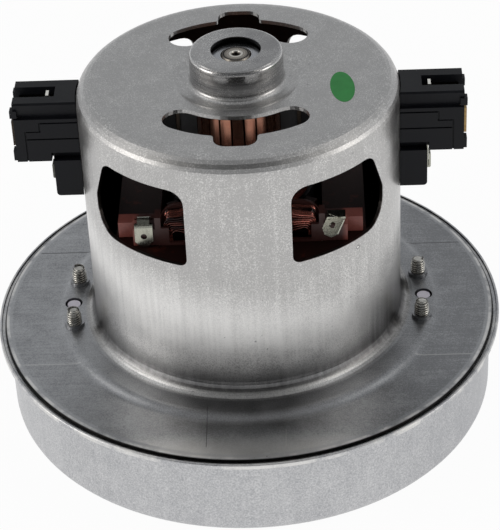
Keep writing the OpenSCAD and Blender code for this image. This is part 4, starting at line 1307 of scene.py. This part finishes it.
@dataclass
class BrushGear(SubAssembly):
    """One brush with its holder, tube, spring and lead."""

    side: Side
    height: float = 0.0865
    spring_r: float = 0.0027
    spring_wire: float = 0.0006
    curls: int = 10
    spring_in: float = 0.0333
    spring_out: float = 0.05685
    lead_in: float = 0.03295
    lead_out: float = 0.0552
    lead_r: float = 0.0007
    strands: int = 3
    strand_share: float = 0.46
    twists: int = 7
    lead_steps: int = 120
    curl_steps: int = 24
    closed_pitch: float = 1.1
    travel: float = 0.006
    anchor: float = 0.0572
    edge: float = 0.00025

    def about(self, x: float, reach: float, angle: float) -> Vector:
        """A point so far out along the brush, and at an angle about its axis."""
        return Vector(
            (self.side.value * x, reach * math.cos(angle), self.height + reach * math.sin(angle))
        )

    def spring_path(self) -> list[Vector]:
        """The spring's wire, with a closed curl at each end.

        Returns:
            The wire's points in metres.
        """
        half = self.spring_wire / 2
        start, end = self.spring_in + half, self.spring_out - half
        closed = self.spring_wire * self.closed_pitch
        points = []
        for index in range(self.curls * self.curl_steps + 1):
            curl = index / self.curl_steps
            if curl < 1:
                x = start + closed * curl
            elif curl > self.curls - 1:
                x = end - closed * (self.curls - curl)
            else:
                x = start + closed + (end - start - 2 * closed) * (curl - 1) / (self.curls - 2)
            points.append(self.about(x, self.spring_r, 2 * math.pi * curl))
        return points

    def lead_paths(self) -> list[list[Vector]]:
        """Strands twisted into the brush's lead.

        Returns:
            The points of each strand in metres.
        """
        reach = self.lead_r * (1 - self.strand_share)
        paths = []
        for which in range(self.strands):
            points = []
            for index in range(self.lead_steps + 1):
                share = index / self.lead_steps
                x = self.lead_in + (self.lead_out - self.lead_in) * share
                angle = 2 * math.pi * (which / self.strands + share * self.twists)
                points.append(self.about(x, reach, angle))
            paths.append(points)
        return paths

    def squash(self, piece: bpy.types.Object, name: str) -> None:
        """Gives a piece its own copy of its mesh."""
        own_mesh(piece)

    def build(self) -> None:
        """Winds the spring and the lead and dresses the rest."""
        name = self.side.name.lower()
        spring = self.place(
            f"coiled_spring_{name}",
            wire_mesh(f"coiled_spring_{name}", [self.spring_path()], self.spring_wire / 2, 8),
            SPRING_WIRE, Body.MOTOR, "spring_steel", [f"brush_spring_{name}"],
        )
        lead = self.place(
            f"twisted_lead_{name}",
            wire_mesh(f"twisted_lead_{name}", self.lead_paths(), self.lead_r * self.strand_share, 8),
            COPPER_BRAID, Body.MOTOR, "copper", [f"brush_lead_{name}"],
        )
        self.squash(spring, name)
        self.squash(lead, name)
        self.place(
            f"moulded_holder_{name}", self.softened(f"brush_holder_{name}", self.edge),
            HOLDER_PLASTIC, Body.MOTOR, "black_plastic", [f"brush_holder_{name}"],
        )
        # Tubes and the left cap take brass darkened by painted shade; the right cap plain brass
        self.dress(SHADED_BRASS, f"brush_tube_{name}")
        self.dress(SHADED_BRASS if self.side is Side.LEFT else BRASS, f"brush_cap_{name}")
        # The left terminal takes tin darkened by painted shade; the right one plain tin
        self.dress(SHADED_TIN if self.side is Side.LEFT else TIN_PLATE, f"brush_terminal_{name}")
        self.dress(CARBON, f"carbon_brush_{name}")


@dataclass
class Rotor(SubAssembly):
    """Shaft, armature with its wound ends, and commutator."""

    slots: int = 12
    span: int = 5
    strands: int = 9
    wire_d: float = 0.0006
    out_r: float = 0.0166
    in_r: float = 0.0098
    in_gap: float = 0.002
    bow: float = 1.6
    jitter: float = 0.07
    sink: float = 0.1
    mid_z: float = 0.0545
    probe: float = 0.05
    seed: int = 5
    points: int = 15
    least_points: int = 5

    def strand_paths(self) -> list[list[Vector]]:
        """Wires that cross each end of the armature from slot to slot.

        Returns:
            The points of each wire in metres.
        """
        tree = BVHTree.FromObject(
            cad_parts["armature_winding"], bpy.context.evaluated_depsgraph_get()
        )
        rng = random.Random(self.seed)
        paths = []
        for up in (1, -1):
            for slot in range(self.slots):
                for strand in range(self.strands):
                    start = 2 * math.pi * slot / self.slots + rng.uniform(-self.jitter, self.jitter)
                    sweep = 2 * math.pi * self.span / self.slots
                    spread = self.out_r - self.in_r - self.in_gap
                    least = self.in_r + spread * strand / self.strands
                    path = []
                    for index in range(self.points):
                        share = index / (self.points - 1)
                        angle = start + sweep * share
                        reach = least + (self.out_r - least) * abs(2 * share - 1) ** self.bow
                        x, y = reach * math.cos(angle), reach * math.sin(angle)
                        above = Vector((x, y, self.mid_z + up * self.probe))
                        hit = tree.ray_cast(above, Vector((0, 0, -up)))[0]
                        if hit is not None:
                            path.append(Vector((x, y, hit.z + up * self.wire_d * self.sink)))
                    if len(path) >= self.least_points:
                        paths.append(path)
        return paths

    def build(self) -> None:
        """Winds the end turns and dresses the rotor."""
        self.place(
            "armature_end_turns",
            wire_mesh("armature_end_turns", self.strand_paths(), self.wire_d / 2),
            WIRE_ENAMEL, Body.ROTOR, "enamel_copper",
        )
        self.dress(WINDING_CORE, "armature_winding")
        self.dress(SHAFT_STEEL, "shaft")
        self.dress(LAMINATIONS, "armature_core")
        self.dress(FIBRE_BOARD, "armature_insulators")
        self.dress(PHENOLIC, "commutator_hub", "commutator_spacer")
        self.dress(BAR_COPPER, "commutator_bars")


@dataclass
class Fan(SubAssembly):
    """The impeller on the lower end of the shaft."""

    def build(self) -> None:
        """Dresses the impeller's pieces."""
        self.dress(ALUMINIUM, "impeller_back_plate", "impeller_shroud", "impeller_blades")
        self.dress(SHAFT_STEEL, "impeller_spacer")
        self.dress(NICKEL, "impeller_washers", "impeller_nut")


@dataclass
class Bearings(SubAssembly):
    """The two ball bearings and the washer that loads the upper one."""

    def build(self) -> None:
        """Dresses rings, cages and shields."""
        for end in ("upper", "lower"):
            self.dress(BEARING_STEEL, f"{end}_bearing_outer_ring", f"{end}_bearing_inner_ring")
            self.dress(BEARING_STEEL, f"{end}_ball_cage")
            self.dress(SHIELD_STEEL, f"{end}_bearing_shields")
        self.dress(SPRING_WIRE, "preload_washer")


@dataclass(frozen=True)
class Lamp:
    """A soft lamp: where it hangs, its width and height in metres and its power in watts."""

    name: str
    place: Place
    size: Span
    power: float


@dataclass
class Studio:
    """Floor, world, lamps and camera."""

    distance: float = 0.590259
    elevation: float = 35.214
    yaw: float = 2.313
    roll: float = -2.916
    target: Place = (-0.000118, 0.0, 0.038172)
    lens: float = 146.43
    sensor: float = 36.0
    clip: Span = (0.01, 50.0)
    shift: Span = (0.00722, 0.00149)
    floor_half: float = 4.0
    floor_drop: float = 0.0002
    floor_tone: Colour = (0.95, 0.95, 0.95, 1.0)
    floor_glow: float = 0.95
    ambient: float = 0.5
    overhead: float = 0.55
    behind_camera: float = 0.1
    ceiling: Span = (0.02, 0.25)
    behind: Span = (0.0, 0.6)
    warmth: Place = (1.0, 0.965, 0.92)
    sky: Colour = (0.955, 0.975, 1.0, 1.0)
    aim: Place = (0.0, 0.0, 0.05)
    lamps: tuple[Lamp, ...] = (
        Lamp("key_softbox", (-1.15, -0.35, 0.30), (0.7, 0.3), 3.4),
        Lamp("fill_softbox", (1.15, -0.25, 0.30), (0.6, 0.3), 2.2),
        Lamp("left_overhead", (-0.80, -0.12, 0.92), (0.9, 0.16), 1.1),
        Lamp("right_overhead", (0.80, -0.12, 0.92), (0.9, 0.16), 0.9),
    )

    def seen(self, graph: Graph) -> Wire:
        """One for camera, glossy and transmission rays."""
        rays = [
            graph.add("ShaderNodeLightPath", output=f"Is {kind} Ray")
            for kind in ("Camera", "Glossy", "Transmission")
        ]
        return rays[0].most(rays[1]).most(rays[2])

    def floor(self) -> None:
        """Lays a white floor that keeps the object's shadow."""
        bm = bmesh.new()
        bmesh.ops.create_grid(bm, x_segments=1, y_segments=1, size=self.floor_half)
        bmesh.ops.translate(bm, verts=bm.verts, vec=(0, 0, -self.floor_drop))
        mesh = meshed("studio_floor", bm)
        material = bpy.data.materials.new("floor_white")
        material.use_nodes = True
        graph = Graph(material.node_tree)
        plain = graph.add("ShaderNodeBsdfDiffuse", None, {"Color": self.floor_tone})
        glow = graph.add("ShaderNodeEmission", None, {"Color": (1, 1, 1, 1), "Strength": 1.0})
        shown = self.seen(graph) * self.floor_glow
        both = graph.add("ShaderNodeMixShader", None, {0: shown, 1: plain, 2: glow})
        graph.add("ShaderNodeOutputMaterial", None, {"Surface": both})
        mesh.materials.append(material)
        plate = set_out("studio_floor", mesh)

    def world(self) -> None:
        """Surrounds the object with white that fades to a grey ceiling, darker behind the camera."""
        world = bpy.data.worlds.new("studio_world")
        world.use_nodes = True
        graph = Graph(world.node_tree)
        way = graph.add("ShaderNodeTexCoord", output="Generated")
        height = graph.add("ShaderNodeSeparateXYZ", None, {0: way}, "Z")
        depth = graph.add("ShaderNodeSeparateXYZ", None, {0: way}, "Y")
        grey = self.overhead - (0 - depth).rise(*self.behind) * (self.overhead - self.behind_camera)
        shown = 1 - height.rise(*self.ceiling) * (1 - grey)
        seen = self.seen(graph)
        strength = self.ambient * (1 - seen) + shown * seen
        ground = graph.add("ShaderNodeBackground", None, {"Color": self.sky, "Strength": strength})
        graph.add("ShaderNodeOutputWorld", None, {"Surface": ground})
        bpy.context.scene.world = world

    def hang(self, lamp: Lamp) -> None:
        """Hangs one lamp so that it faces the object.

        Args:
            lamp: The lamp.
        """
        light = bpy.data.lights.new(lamp.name, "AREA")
        light.shape = "RECTANGLE"
        light.size, light.size_y = lamp.size
        light.energy = lamp.power
        light.color = self.warmth
        holder = set_out(lamp.name, light)
        holder.location = lamp.place
        way = Vector(self.aim) - Vector(lamp.place)
        holder.rotation_euler = way.to_track_quat("-Z", "Y").to_euler()

    def camera(self) -> None:
        """Sets the camera where the picture was taken from."""
        rise, roll = math.radians(self.elevation), math.radians(self.roll)
        back = Vector((0, -math.cos(rise), math.sin(rise)))
        right, up = Vector((1, 0, 0)), Vector((0, math.sin(rise), math.cos(rise)))
        across = math.cos(roll) * right + math.sin(roll) * up
        above = -math.sin(roll) * right + math.cos(roll) * up
        pose = Matrix((across, above, back)).transposed().to_4x4()
        pose.translation = Vector(self.target) + back * self.distance
        data = bpy.data.cameras.new("picture_camera")
        data.sensor_width = self.sensor
        data.lens = self.lens
        data.shift_x, data.shift_y = self.shift
        data.clip_start, data.clip_end = self.clip
        camera = set_out("picture_camera", data)
        camera.matrix_world = Matrix.Rotation(math.radians(self.yaw), 4, "Z") @ pose
        bpy.context.scene.camera = camera

    def build(self) -> None:
        """Sets up the whole studio."""
        bpy.context.scene.view_settings.view_transform = "Standard"
        self.camera()
        self.floor()
        self.world()
        for lamp in self.lamps:
            self.hang(lamp)
        log.info("set up the studio")


def main() -> None:
    """Builds the studio and each sub-assembly in order."""
    logging.basicConfig(level=logging.INFO, format="%(name)s: %(message)s")
    Studio().build()
    Housing().build()
    ClampScrews().build()
    FanCase().build()
    for pole in Pole:
        FieldCoil(pole).build()
    FieldCore().build()
    for side in Side:
        BrushGear(side).build()
    Rotor().build()
    Fan().build()
    Bearings().build()


if __name__ == "__main__":
    main()
